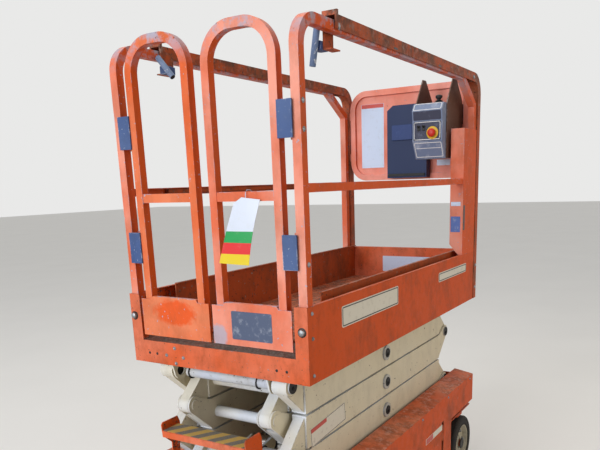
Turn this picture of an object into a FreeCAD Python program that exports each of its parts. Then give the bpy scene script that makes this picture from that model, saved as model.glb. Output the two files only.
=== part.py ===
"""Electric scissor lift: slab chassis on four wheels, four pairs of crossed arms, a platform
with guard rails and saloon gates, and a roll-out deck extension.

Millimetres. +X is forward, towards the steered wheels and the deck extension, +Y is left and
+Z is up. The origin is on the ground under the middle of the machine.
"""
import FreeCAD, Part
import Sketcher
import math
import os
import re
from FreeCAD import Placement, Rotation, Vector

doc = FreeCAD.newDocument("ScissorLift")
sheet = doc.addObject("Spreadsheet::Sheet", "Sizes")

# Each row: the size's name, its value and what it is.
SIZES = [
    ("wheel_radius", 152.5, "tyre outside radius"),
    ("tyre_width", 100, "solid tyre across the tread"),
    ("tyre_shoulder", 12, "rounding at the tread's edges"),
    ("wheel_rim_radius", 104, "steel wheel under the tyre"),
    ("wheel_dish", 26, "how deep the wheel's face is set in"),
    ("wheel_hub_radius", 44, "raised hub in the wheel"),
    ("wheel_hub_cap", 30, "cap on the hub"),
    ("axle_radius", 20, "stub axles and kingpins"),
    ("running_gap", 0.08, "radial clearance of every pin in its bore"),
    ("rear_axle_x", -610, "rear axle line"),
    ("steer_axle_x", 725, "kingpin line"),
    ("steer_deck", 332, "underside of the plate over the steered wheels"),
    ("seat_gap", 0.3, "gap between pieces that rest on each other"),
    ("yoke_clear", 8, "steering yoke over the tyre"),
    ("yoke_plate", 14, "steering yoke plate"),
    ("chassis_rear", -825, "rear face of the chassis"),
    ("chassis_front", 875, "front face of the chassis"),
    ("chassis_half", 405, "half the chassis width"),
    ("wheel_inset", 55, "chassis side to the middle of a tyre"),
    ("cover_wide", 105, "side cover's sloping top"),
    ("hinge_inset", 7, "chassis side to the tray hinge line"),
    ("plate", 6, "chassis plate"),
    ("skin", 4, "sheet of covers and trays"),
    ("tie_down_y", 250, "tie-down holes in the rear plate, from the middle"),
    ("tie_down_z", 250, "tie-down holes in the rear plate"),
    ("tie_down_radius", 15, "tie-down holes"),
    ("spine_low", 105, "underside of the tub, the ground clearance"),
    ("spine_top", 318, "top edge of the tub's sides"),
    ("cover_edge", 515, "outer edge of the cover's top"),
    ("cover_ridge", 533, "inner edge of the cover's top"),
    ("band_low", 395, "lower edge of the cover's side, where the tray door starts"),
    ("fender_low", 366, "lower edge of the cover's side over the steered wheel"),
    ("door_rear", -425, "rear edge of the tray doors"),
    ("door_front", 391, "front edge of the tray doors"),
    ("post_rear", 411, "rear edge of the plate between door and steered wheel"),
    ("post_front", 522, "front edge of the plate between door and steered wheel"),
    ("arch_rear", -795, "rear wheel arch, rear edge"),
    ("arch_front", -433, "rear wheel arch, front edge"),
    ("door_low", 118, "lower edge of the tray doors"),
    ("tray_inset", 20, "tub to the inner face of the trays"),
    ("tray_gap", 6, "clearance round a tray"),
    ("tray_hinge_x", 402, "tray hinge line, fore and aft"),
    ("tray_barrel", 7, "tray hinge barrels"),
    ("tray_floor_rear", -382, "rear end of the tray floors, short so that the corner swings clear"),
    ("battery_long", 560, "battery pack along the machine"),
    ("battery_wide", 178, "battery pack across the machine"),
    ("battery_tall", 180, "battery pack height"),
    ("tank_long", 240, "hydraulic tank along the machine"),
    ("pump_radius", 55, "pump motor"),
    ("guard_wide", 82, "pothole guard, depth when it hangs down"),
    ("guard_hinge_z", 104, "pothole guard hinge height"),
    ("guard_bar", 8, "pothole guard hinge bar radius"),
    ("arm_span", 1520, "pin to pin length of every arm"),
    ("stow_angle", 5, "angle of the pin lines when the lift is down, degrees"),
    ("rear_pin_x", -775, "line of the rear pins"),
    ("first_pin_z", 380, "lowest pins, on the chassis"),
    ("arm_depth", 124, "arm tube depth"),
    ("arm_width", 60, "arm tube width"),
    ("arm_room", 75, "tub to the outer arms, and outer arms to the upright plates"),
    ("arm_pitch", 70, "inner arms to outer arms"),
    ("tube_setback", 85, "arm tube's end to the pin"),
    ("lug_radius", 34, "bosses and lugs round the pins"),
    ("pin_radius", 20, "scissor pins"),
    ("collar_width", 44, "boss width of an arm held between two lugs"),
    ("ear", 7, "thickness of one lug"),
    ("fit_gap", 1, "side clearance between lug and boss"),
    ("arm_sweep", 14, "lowest pins to the rear plate's edge, low so that the raised arms clear it"),
    ("boss_proud", 8, "how far the middle bosses stand off the outer arms"),
    ("boss_radius", 33, "middle bosses"),
    ("cross_radius", 22, "cross tubes of the inner arms"),
    ("cross_inset", 45, "cross tube from the arm tube's end"),
    ("roller_radius", 25, "rollers at the sliding ends"),
    ("roller_gap", 17, "inner arms to the rollers"),
    ("roller_wide", 40, "rollers"),
    ("track_wall", 6, "plate of the roller channels"),
    ("track_gap", 1, "roller clearance in its channel"),
    ("lift_barrel_radius", 36, "lift cylinder"),
    ("lift_rod_radius", 22, "lift rod"),
    ("lift_base_inset", 231.216, "front arm pins to the lift cylinder's lower pin"),
    ("lift_base_z", 358, "lift cylinder's lower pin"),
    ("lift_eye_x", -579.4, "lift rod's eye"),
    ("lift_eye_z", 582.8, "lift rod's eye"),
    ("lift_eye_radius", 30, "eyes at both ends of the cylinder"),
    ("lift_eye_half", 40, "half the width of the eyes"),
    ("lift_gland", 80, "gland to the rod's eye when the lift is down"),
    ("clevis_plate", 10, "plates that hold the cylinder's pins"),
    ("clevis_gap", 0.4, "side clearance of the eyes"),
    ("platform_rear", -825, "rear face of the platform"),
    ("platform_half", 390, "half the platform width"),
    ("platform_low", 940, "underside of the platform's sides"),
    ("floor_top", 1025, "main deck"),
    ("floor_sheet", 4, "deck plate"),
    ("beam_low", 944, "underside of the deck's beams"),
    ("beam_wide", 40, "deck beams"),
    ("main_front", 877, "front end of the main platform"),
    ("toe_top", 1198, "top of the main toe boards"),
    ("toe_flange", 14, "folded top of the toe boards"),
    ("corner_wide", 50, "plates at the platform's rear corners"),
    ("rail_top", 2066, "top of the fixed guard rails"),
    ("rail_tube", 32, "guard rail tube"),
    ("rail_bend", 100, "outer radius of the guard rails' corners"),
    ("front_post_x", 840, "rear face of the fixed front posts"),
    ("rail_slope_x", 660, "where the top rail turns down to the front post"),
    ("rail_slope_z", 1925, "where the slope meets the front post"),
    ("rear_post_x", -815, "rear face of the rear posts"),
    ("mid_rail_z", 1563, "middle of the mid rails"),
    ("mid_rail_tall", 28, "mid rail height"),
    ("stanchion_rear", 682, "rear face of the right side's wide post"),
    ("stanchion_deep", 67, "wide post, flange depth"),
    ("stanchion_top", 1816, "top of the wide post"),
    ("stanchion_low", 1251, "inner lower end of the wide post's flange"),
    ("gate_rear", -820, "rear face of the gates"),
    ("gate_tube", 30, "gate tube"),
    ("gate_low", 1047, "lower edge of the gates"),
    ("gate_top", 2067, "top of the gates"),
    ("gate_post_gap", 44, "gates' outer uprights to the rear posts"),
    ("gate_arch", 0.42, "radius of the arch, share of the gate's width"),
    ("gate_right_end", 24, "free side of the right gate, from the middle"),
    ("gate_left_end", 31, "free side of the left gate, from the middle"),
    ("gate_kick_top", 1194, "folded top of the gates' kick plates"),
    ("gate_kick_ear", 1183, "top of the kick plates in front of the uprights"),
    ("gate_kick_over", 20, "how far a kick plate passes its uprights"),
    ("gate_sheet", 4, "kick plate sheet"),
    ("gate_mid_z", 1542, "middle of the gates' mid rails"),
    ("hinge_x", -772, "gate hinge line, fore and aft"),
    ("hinge_radius", 9, "hinge barrels"),
    ("hinge_upper", 1765, "middle of the upper hinges"),
    ("hinge_lower", 1368, "middle of the lower hinges"),
    ("hinge_tall", 110, "hinge plates"),
    ("hinge_plate", 5, "hinge plate thickness"),
    ("deck_rear", -640, "rear edge of the extension's deck"),
    ("deck_low", 1031, "underside of the extension's deck"),
    ("deck_side_gap", 20, "extension's toe boards to the fixed posts"),
    ("deck_front", 925, "front face of the extension"),
    ("side_toe_top", 1214, "top of the extension's side toe boards"),
    ("side_toe_flange", 14, "folded top of the extension's side toe boards"),
    ("front_toe_top", 1206, "top of the extension's front toe board"),
    ("channel_rear", -600, "rear end of the extension's top rails"),
    ("channel_over", 18, "extension's top rails over the fixed ones"),
    ("channel_clear", 3, "extension's top rails beside the fixed ones"),
    ("channel_wall", 3, "wall of the extension's top rails"),
    ("front_post_deep", 42, "extension's top rails and front posts, seen from the side"),
    ("front_post_bend", 100, "bend from the top rails into the front posts"),
    ("lock_low", 1985, "underside of the extension's latches"),
    ("lock_tube", 17, "latch handle radius"),
    ("lock_long", 100, "latch handle"),
    ("lock_lean", 24, "lean of the latch handle, degrees"),
    ("slide_rail", 16, "extension's mid rail, a square bar"),
    ("slide_clear", 3, "room round that bar"),
    ("panel_top", 2064, "upper edge of the front panel"),
    ("panel_tall", 482, "front panel height"),
    ("panel_gap", 4, "front panel to the front posts"),
    ("panel_bend", 100, "corner radius of the front panel"),
    ("panel_tube", 30, "tube round the front panel"),
    ("panel_sheet", 3, "front panel sheet"),
    ("manual_low", 1590, "document box"),
    ("manual_high", 1967, "document box"),
    ("manual_clear", 8.7, "document box beside the control box guards"),
    ("manual_wide", 227, "document box across"),
    ("manual_deep", 55, "document box"),
    ("control_x", 605, "operator's control box, its face"),
    ("control_inset", 117, "front panel's side to the middle of the control box"),
    ("control_z", 1678, "operator's control box, its lower end"),
    ("control_wide", 154, "operator's control box across"),
    ("control_tall", 260, "operator's control box"),
    ("control_deep", 155, "operator's control box"),
    ("guard_tall", 387, "control box guards"),
    ("guard_long", 230, "control box guards"),
    ("guard_sheet", 5, "control box guards"),
    ("ladder_top", 722, "upper tread of the entry ladder"),
    ("ladder_low", 395, "lower tread of the entry ladder"),
    ("ladder_inset", 110, "side plates to the ladder"),
    ("tread_deep", 84, "ladder treads"),
    ("tread_flange", 30, "ladder treads' side flanges"),
    ("ladder_rear", -925, "rear edge of the treads"),
]

# Places worked out from the sizes, by name.
PLACES = {
    "half_reach": "arm_span * cos(stow_angle) / 2",
    "half_rise": "arm_span * sin(stow_angle) / 2",
    "centre_x": "rear_pin_x + half_reach",
    "front_pin_x": "rear_pin_x + 2 * half_reach",
    "tube_end": "half_reach - tube_setback",
    "top_pin_z": "first_pin_z + 8 * half_rise",
    "side_wall_y": "chassis_half - cover_wide",
    "outer_arm_y": "side_wall_y - arm_room",
    "inner_arm_y": "outer_arm_y - arm_pitch",
    "spine_half": "outer_arm_y - arm_room",
    "roller_outer": "inner_arm_y - roller_gap",
    "roller_inner": "roller_outer - roller_wide",
    "outer_mid": "outer_arm_y + arm_width / 2",
    "inner_mid": "inner_arm_y + arm_width / 2",
    "bore": "pin_radius + running_gap",
    "lift_base_x": "front_pin_x - lift_base_inset",
    "tray_inner": "spine_half + tray_inset",
    "ladder_half": "side_wall_y - ladder_inset",
    "track_half": "chassis_half - wheel_inset",
    "tyre_outer": "track_half + tyre_width / 2",
    "tyre_inner": "track_half - tyre_width / 2",
    "tray_hinge_y": "chassis_half - hinge_inset",
    "yoke_top": "2 * wheel_radius + yoke_clear + yoke_plate",
    "rear_plate_top": "first_pin_z + arm_sweep",
    "end_plate_top": "cover_edge - skin - 2",
    "wall_top": "cover_ridge - skin - plate * (cover_ridge - cover_edge) / (cover_wide - 2 * skin)",
    "guard_hinge_y": "chassis_half - guard_bar - 10",
    "track_rear": "rear_pin_x + 2 * half_reach * 0.45",
    "track_front": "front_pin_x + 60",
    "corner_inner": "platform_half - corner_wide",
    "rail_outer": "platform_half - skin",
    "rail_inner": "rail_outer - rail_tube",
    "gate_outer": "rail_inner - gate_post_gap",
    "hinge_line": "rail_inner - gate_post_gap / 2",
    "deck_half": "rail_inner - deck_side_gap",
    "channel_inner": "rail_inner - channel_clear - channel_wall",
    "channel_outer": "rail_outer + channel_clear + channel_wall",
    "channel_top": "rail_top + channel_over",
    "channel_low": "channel_top - front_post_deep",
    "slide_rail_y": "rail_inner + (rail_tube - slide_rail) / 2",
    "panel_half": "channel_inner - panel_gap",
    "panel_low": "panel_top - panel_tall",
    "panel_x": "deck_front - front_post_deep + 4",
    "panel_sheet_x": "panel_x + panel_tube / 2",
    "control_y": "control_inset - panel_half",
    "manual_right": "control_y + control_wide / 2 + seat_gap + guard_sheet + manual_clear",
    "manual_left": "manual_right + manual_wide",
}
ALIASES = {row[0] for row in SIZES}
S = {row[0]: float(row[1]) for row in SIZES}

AXES = {"X": Rotation(Vector(0, 1, 0), 90), "Y": Rotation(Vector(1, 0, 0), -90), "Z": Rotation()}
PLANES = {"XY": Rotation(), "XZ": Rotation(Vector(1, 0, 0), 90), "YZ": Rotation(Vector(1, 1, 1), 120)}
NORMALS = {"XY": Vector(0, 0, 1), "XZ": Vector(0, 1, 0), "YZ": Vector(1, 0, 0)}
SIDES = {"left": 1, "right": -1}
parts = []


def fill_sheet():
    for row, (alias, value, note) in enumerate(SIZES, start=1):
        sheet.set(f"A{row}", str(value))
        sheet.setAlias(f"A{row}", alias)
        sheet.set(f"B{row}", note)
    sheet.recompute()


def bound(text):
    """An expression on the sheet: every size gets the sheet's name, every place is opened up."""
    def swap(found):
        word = found.group()
        if word in PLACES:
            return "(" + bound(PLACES[word]) + ")"
        return "Sizes." + word if word in ALIASES else word
    return re.sub(r"[a-z_]+", swap, str(text))


def drive(thing, **texts):
    """Binds properties to expressions. Two underscores in a keyword stand for a dot."""
    for key, text in texts.items():
        thing.setExpression(key.replace("__", "."), bound(text))
    return thing


def move(thing, x=None, y=None, z=None):
    for key, text in (("x", x), ("y", y), ("z", z)):
        if text is not None:
            thing.setExpression("Placement.Base." + key, bound(text))
    return thing


def block(x, y, z):
    """A box between two limits on each axis."""
    thing = doc.addObject("Part::Box", "Block")
    drive(thing, Length=f"({x[1]}) - ({x[0]})", Width=f"({y[1]}) - ({y[0]})", Height=f"({z[1]}) - ({z[0]})")
    return move(thing, x[0], y[0], z[0])


def rod(axis, at, radius, span):
    """A cylinder along an axis. at holds its two other coordinates, in X, Y, Z order."""
    thing = doc.addObject("Part::Cylinder", "Rod")
    thing.Placement = Placement(Vector(), AXES[axis])
    drive(thing, Radius=radius, Height=f"({span[1]}) - ({span[0]})")
    place = list(at)
    place.insert("XYZ".index(axis), span[0])
    return move(thing, *place)


def outline(plane, points, span, holes=()):
    """A sketched outline, pinned to the sizes point by point, extruded over a span.

    points: pairs of expressions in the plane. holes: centre, centre, radius.
    """
    sketch = doc.addObject("Sketcher::SketchObject", "Sketch")
    count = len(points)
    loose = [Vector(math.cos(2 * math.pi * i / count), math.sin(2 * math.pi * i / count), 0) for i in range(count)]
    for i in range(count):
        sketch.addGeometry(Part.LineSegment(loose[i], loose[(i + 1) % count]), False)
    for i in range(count):
        sketch.addConstraint(Sketcher.Constraint("Coincident", i, 2, (i + 1) % count, 1))
    for i, (across, up) in enumerate(points):
        pin_down(sketch, i, 1, across, up, loose[i])
    for across, up, radius in holes:
        circle = sketch.addGeometry(Part.Circle(Vector(), Vector(0, 0, 1), 1), False)
        pin_down(sketch, circle, 3, across, up, Vector())
        number = sketch.addConstraint(Sketcher.Constraint("Radius", circle, 1))
        sketch.setExpression(f"Constraints[{number}]", bound(radius))
    sketch.Placement = Placement(Vector(), PLANES[plane])
    drive(sketch, **{"Placement__Base__" + "zyx"[["XY", "XZ", "YZ"].index(plane)]: span[0]})
    thing = doc.addObject("Part::Extrusion", "Outline")
    thing.Base = sketch
    thing.DirMode = "Custom"
    thing.Dir = NORMALS[plane]
    thing.Solid = True
    return drive(thing, LengthFwd=f"({span[1]}) - ({span[0]})")


def pin_down(sketch, geometry, point, across, up, near):
    for kind, text, value in (("DistanceX", across, near.x), ("DistanceY", up, near.y)):
        number = sketch.addConstraint(Sketcher.Constraint(kind, -1, 1, geometry, point, value))
        sketch.setExpression(f"Constraints[{number}]", bound(text))


def fuse(*things):
    if len(things) == 1:
        return things[0]
    thing = doc.addObject("Part::MultiFuse", "Joined")
    thing.Shapes = list(things)
    thing.Refine = True
    return thing


def cut(base, *tools):
    thing = doc.addObject("Part::Cut", "Cut")
    thing.Base = base
    thing.Tool = fuse(*tools)
    thing.Refine = True
    return thing


def mirrored(thing, normal=Vector(0, 1, 0)):
    copy = doc.addObject("Part::Mirroring", "Mirrored")
    copy.Source = thing
    copy.Normal = normal
    return copy


def both_sides(thing):
    return fuse(thing, mirrored(thing))


def on_side(side, thing):
    """What is drawn on the left goes to the named side."""
    return thing if side == "left" else mirrored(thing)


def finish(label, thing):
    thing.Label = label
    parts.append(thing)
    return thing


def chassis_tub():
    """The welded tub down the middle with its bulkheads."""
    rear, front = "chassis_rear", "chassis_front"
    low, top = "spine_low", "spine_top"
    belly = block((rear, front), ("-spine_half", "spine_half"), (low, f"{low} + plate"))
    side = block((rear, front), ("spine_half - plate", "spine_half"), (low, top))
    bulkheads = [
        block((x, f"({x}) + plate"), ("-spine_half", "spine_half"), (low, top))
        for x in (rear, "arch_front", "post_front - plate", f"{front} - plate")
    ]
    finish("chassis_tub", fuse(belly, *bulkheads, both_sides(side)))


def tie_down_hole():
    span = ("chassis_rear - 1", "chassis_rear + plate + 1")
    return rod("X", ("tie_down_y", "tie_down_z"), "tie_down_radius", span)


def chassis_sides():
    """Upright plates beside the arms, with the decks over the wheels, the arms' lugs and the hinges."""
    rear, front, top = "chassis_rear", "chassis_front", "spine_top"
    upright = ("side_wall_y", "side_wall_y + plate")
    out_from, out_to = "spine_half", "chassis_half - skin"
    wall = [block((rear, "post_front"), upright, (f"{top} - plate", "wall_top")),
            block(("post_front", front), upright, ("steer_deck", "wall_top"))]
    deck_y = (out_from, "side_wall_y + plate")
    decks = [block((rear, "arch_front + plate"), deck_y, (f"{top} - plate", top)),
             block(("door_front + 10", "post_front"), deck_y, (f"{top} - plate", top)),
             block(("post_front - plate", front), (out_from, f"{out_to} - 11"), ("steer_deck", "steer_deck + plate"))]
    rear_plate = [block((rear, f"{rear} + plate"), (out_from, out_to), ("spine_low", "rear_plate_top")),
                  block((rear, f"{rear} + plate"), ("side_wall_y", out_to), ("spine_low", "end_plate_top"))]
    front_plate = block((f"{front} - plate", front), ("0", out_to), ("fender_low", "end_plate_top"))
    cross_plates = []
    for x in ("arch_front", "post_front - plate"):
        span = (x, f"{x} + plate")
        tab = block(span, ("tray_hinge_y - 22", out_to), ("guard_hinge_z - 16", "door_low + 4"))
        guard_at = ("guard_hinge_y", "guard_hinge_z")
        guard_hole = rod("X", guard_at, "guard_bar + running_gap", (f"{x} - 1", f"{x} + plate + 1"))
        cross_plates.append(block(span, (out_from, out_to), ("door_low", top)))
        cross_plates.append(block(span, ("side_wall_y", out_to), (f"{top} - plate", "end_plate_top")))
        cross_plates.append(cut(tab, guard_hole))
    strap_y = "tray_hinge_y - tray_barrel - 5"
    hinges = [tray_hinge(low, high, "post_front - plate", strap_y) for low, high, _, _ in TRAY_HINGES]
    kingpin_at = ("steer_axle_x", "track_half")
    house = rod("Z", kingpin_at, "axle_radius + 18", ("yoke_top + seat_gap", "steer_deck + 70"))
    hole = rod("Z", kingpin_at, "axle_radius + running_gap", ("steer_deck - 20", "steer_deck + 80"))
    whole = fuse(*wall, *decks, *rear_plate, front_plate, *cross_plates, *hinges, *chassis_lugs(), house)
    solid = cut(whole, hole, tie_down_hole())
    for side in SIDES:
        finish("chassis_side_" + side, on_side(side, solid))


def chassis_lugs():
    """Two lugs with the pin of the lowest outer arm between them."""
    at = ("rear_pin_x", "first_pin_z")
    outer = "outer_arm_y + arm_width + fit_gap"
    pieces = []
    for span in (("outer_arm_y - fit_gap - ear", "outer_arm_y - fit_gap"), (outer, f"{outer} + ear")):
        foot = [("rear_pin_x - 50", "spine_top - plate"), ("rear_pin_x + 50", "spine_top - plate"),
                ("rear_pin_x + lug_radius * 0.94", "first_pin_z + 10"),
                ("rear_pin_x - lug_radius * 0.94", "first_pin_z + 10")]
        pieces.append(fuse(outline("XZ", foot, span), rod("Y", at, "lug_radius", span)))
    pieces.append(rod("Y", at, "pin_radius", ("outer_arm_y - fit_gap - ear - 3", f"{outer} + ear + 3")))
    return pieces


def chassis_channels():
    """The lowest rollers' channels, standing on the tub's sides."""
    finish("chassis_channels", both_sides(roller_channel("first_pin_z", "track_rear", "track_front", "spine_top")))


def roller_channel(z, rear, front, base):
    """A channel round one line of rollers, open towards the arms, with the web that carries it at base."""
    room = "(roller_radius + track_gap)"
    inner, outer = "roller_inner - 2", "roller_outer + 2"
    floor_z = (f"{z} - {room} - track_wall", f"{z} - {room}")
    roof_z = (f"{z} + {room}", f"{z} + {room} + track_wall")
    pieces = [block((rear, front), (f"{inner} - track_wall", inner), (floor_z[0], roof_z[1])),
              block((rear, front), (inner, "spine_half" if base == "spine_top" else outer), floor_z),
              block((rear, front), (inner, outer), roof_z)]
    if base == "spine_top":
        pieces.append(block((rear, front), ("spine_half - plate", "spine_half"), (base, floor_z[1])))
    else:
        pieces.append(block((rear, front), ("roller_inner", "roller_outer"), (f"{roof_z[1]} - 0.5", base)))
    return fuse(*pieces)


# Tray hinges: lower and upper end of the chassis's knuckle, then of the tray's own.
TRAY_HINGES = (("door_low + 20", "door_low + 60", "door_low + 60 + seat_gap", "door_low + 100"),
               ("band_low - 63", "band_low - 23", "band_low - 103", "band_low - 63 - seat_gap"))


def tray_hinge(low, high, strap_end, strap_y):
    """One knuckle of a tray hinge with the strap that carries it."""
    barrel = rod("Z", ("tray_hinge_x", "tray_hinge_y"), "tray_barrel", (low, high))
    strap = block(("tray_hinge_x - tray_barrel + 2", strap_end), (strap_y, f"{strap_y} + 5"), (low, high))
    tie = block(("tray_hinge_x - tray_barrel + 2", "tray_hinge_x + tray_barrel - 2"), (strap_y, "tray_hinge_y"), (low, high))
    return fuse(barrel, strap, tie)


def side_covers():
    """The fixed cover over each side: sloping top, upright band, post and fenders."""
    rear, front = "chassis_rear", "chassis_front"
    edge, ridge = "chassis_half", "side_wall_y"
    section = [(edge, "band_low"), (edge, "cover_edge"), (ridge, "cover_ridge"), (ridge, "cover_ridge - skin"),
               (f"{edge} - skin", "cover_edge - skin"), (f"{edge} - skin", "band_low")]
    for side in SIDES:
        cover = outline("YZ", section, (rear, front))
        sheet_y = (f"{edge} - skin", edge)
        rear_skirt = block((rear, "door_rear - tray_gap"), sheet_y, ("spine_top", "band_low"))
        rear_leg = block((rear, "arch_rear"), sheet_y, ("door_low", "spine_top"))
        post = block(("post_rear", "post_front"), sheet_y, ("door_low", "band_low"))
        fender = block(("post_front", front), sheet_y, ("fender_low", "band_low"))
        finish("side_cover_" + side, on_side(side, fuse(cover, rear_skirt, rear_leg, post, fender)))


def entry_ladder():
    """Two treads on side plates that stand off the rear of the chassis."""
    half = "ladder_half"
    rear, front = "ladder_rear", "ladder_rear + tread_deep"
    side = outline("XZ", [("chassis_rear", "ladder_low - 60"), (rear, "ladder_low - 22"), (rear, "ladder_low + 20"),
                          (f"{rear} + 12", "ladder_low + tread_flange"), (f"{rear} + 46", "ladder_low + 44"),
                          (f"{rear} + 46", "ladder_top - 60"), (f"{rear} + 4", "ladder_top - 22"),
                          (rear, "ladder_top + tread_flange - 8"), (f"{rear} + 8", "ladder_top + tread_flange"),
                          (front, "ladder_top + tread_flange"), (f"{front} + 10", "ladder_top + 6"),
                          (f"{front} + 10", "ladder_top - 60"), (front, "ladder_top - 80"), (front, "ladder_low + 116"),
                          ("chassis_rear", "ladder_low + 96")],
                   (f"{half} - skin", half))
    treads = [
        block((rear, f"{rear} + tread_deep"), (f"skin - {half}", f"{half} - skin"), (f"{z} - skin", z))
        for z in ("ladder_top", "ladder_low")
    ]
    noses = [
        block((rear, f"{rear} + skin"), (f"skin - {half}", f"{half} - skin"), (f"{z} - 24", f"{z} - skin"))
        for z in ("ladder_top", "ladder_low")
    ]
    finish("entry_ladder", fuse(both_sides(side), *treads, *noses))


def rear_axles():
    axle = rod("Y", ("rear_axle_x", "wheel_radius"), "axle_radius", ("spine_half", "tyre_outer - 8"))
    flange = rod("Y", ("rear_axle_x", "wheel_radius"), "axle_radius + 26", ("spine_half", "spine_half + 14"))
    collar = rod("Y", ("rear_axle_x", "wheel_radius"), "axle_radius + 12", ("spine_half + 14", "tyre_inner - 6"))
    finish("rear_axles", both_sides(fuse(axle, flange, collar)))


def revolved_body(label, points, x, side):
    """A wheel's section turned about its axle: points are distance along the axle and radius."""
    body = doc.addObject("PartDesign::Body", "Turned")
    sketch = body.newObject("Sketcher::SketchObject", "Section")
    plane = next(one for one in body.Origin.OriginFeatures if one.Role == "YZ_Plane")
    sketch.AttachmentSupport = [(plane, "")]
    sketch.MapMode = "FlatFace"
    count = len(points)
    loose = [Vector(10 + 3 * math.cos(2 * math.pi * i / count), 10 + 3 * math.sin(2 * math.pi * i / count), 0) for i in range(count)]
    for i in range(count):
        sketch.addGeometry(Part.LineSegment(loose[i], loose[(i + 1) % count]), False)
    for i in range(count):
        sketch.addConstraint(Sketcher.Constraint("Coincident", i, 2, (i + 1) % count, 1))
    for i, (along, out) in enumerate(points):
        pin_down(sketch, i, 1, along, out, loose[i])
    turn = body.newObject("PartDesign::Revolution", "Turn")
    turn.Profile = sketch
    turn.ReferenceAxis = (sketch, ["H_Axis"])
    turn.Angle = 360
    y = "track_half" if side == "left" else "-track_half"
    if side == "right":
        body.Placement = Placement(Vector(), Rotation(Vector(0, 0, 1), 180))
    move(body, x, y, "wheel_radius")
    return finish(label, body)


def wheels():
    """Solid tyres on dished steel wheels. The steered and the rear wheels are alike."""
    half, bevel = "tyre_width / 2", "tyre_shoulder"
    tyre = [(f"-{half}", "wheel_rim_radius"), (f"{half}", "wheel_rim_radius"), (f"{half}", f"wheel_radius - {bevel}"),
            (f"{half} - {bevel} * 0.35", f"wheel_radius - {bevel} * 0.35"), (f"{half} - {bevel}", "wheel_radius"),
            (f"{bevel} - {half}", "wheel_radius"), (f"{bevel} * 0.35 - {half}", f"wheel_radius - {bevel} * 0.35"),
            (f"-{half}", f"wheel_radius - {bevel}")]
    face = f"{half} - wheel_dish"
    hole = "axle_radius + running_gap"
    hub = [(f"-{half}", hole), (f"{half} - 14", hole), (f"{half} - 14", "wheel_hub_cap"), (f"{half} - 18", "wheel_hub_radius"),
           (face, "wheel_hub_radius + 6"), (face, "wheel_rim_radius - 16"), (f"{half} - 3", "wheel_rim_radius - 7"),
           (f"{half} - 3", "wheel_rim_radius"), (f"3 - {half}", "wheel_rim_radius"), (f"3 - {half}", "wheel_rim_radius - 12"),
           (f"30 - {half}", "wheel_rim_radius - 20"), (f"30 - {half}", "wheel_hub_radius + 6"), (f"-{half}", "wheel_hub_radius")]
    for end, x in (("rear", "rear_axle_x"), ("front", "steer_axle_x")):
        for side in SIDES:
            revolved_body(f"{end}_tyre_{side}", tyre, x, side)
            revolved_body(f"{end}_wheel_{side}", hub, x, side)


def steer_yokes():
    """Inverted L yokes: kingpin on top, stub axle at the inner side of the wheel."""
    for side in SIDES:
        plate_z = ("yoke_top - yoke_plate", "yoke_top")
        crown = outline("XY", [("steer_axle_x - 62", "tyre_inner - 26"), ("steer_axle_x + 62", "tyre_inner - 26"),
                               ("steer_axle_x + 62", "track_half - 10"), ("steer_axle_x + 34", "track_half + 34"),
                               ("steer_axle_x - 34", "track_half + 34"), ("steer_axle_x - 62", "track_half - 10")], plate_z)
        leg = outline("XZ", [("steer_axle_x - 34", "wheel_radius - 40"), ("steer_axle_x + 34", "wheel_radius - 40"),
                             ("steer_axle_x + 48", "wheel_radius + 10"), ("steer_axle_x + 62", plate_z[0]),
                             ("steer_axle_x - 62", plate_z[0]), ("steer_axle_x - 48", "wheel_radius + 10")],
                      ("tyre_inner - 26", "tyre_inner - 12"))
        kingpin = rod("Z", ("steer_axle_x", "track_half"), "axle_radius", (plate_z[1], "steer_deck + 72"))
        stub = rod("Y", ("steer_axle_x", "wheel_radius"), "axle_radius", ("tyre_inner - 12", "tyre_outer - 8"))
        boss = rod("Y", ("steer_axle_x", "wheel_radius"), "axle_radius + 14", ("tyre_inner - 12", "tyre_inner - 3"))
        finish("steer_yoke_" + side, on_side(side, fuse(crown, leg, kingpin, stub, boss)))


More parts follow.
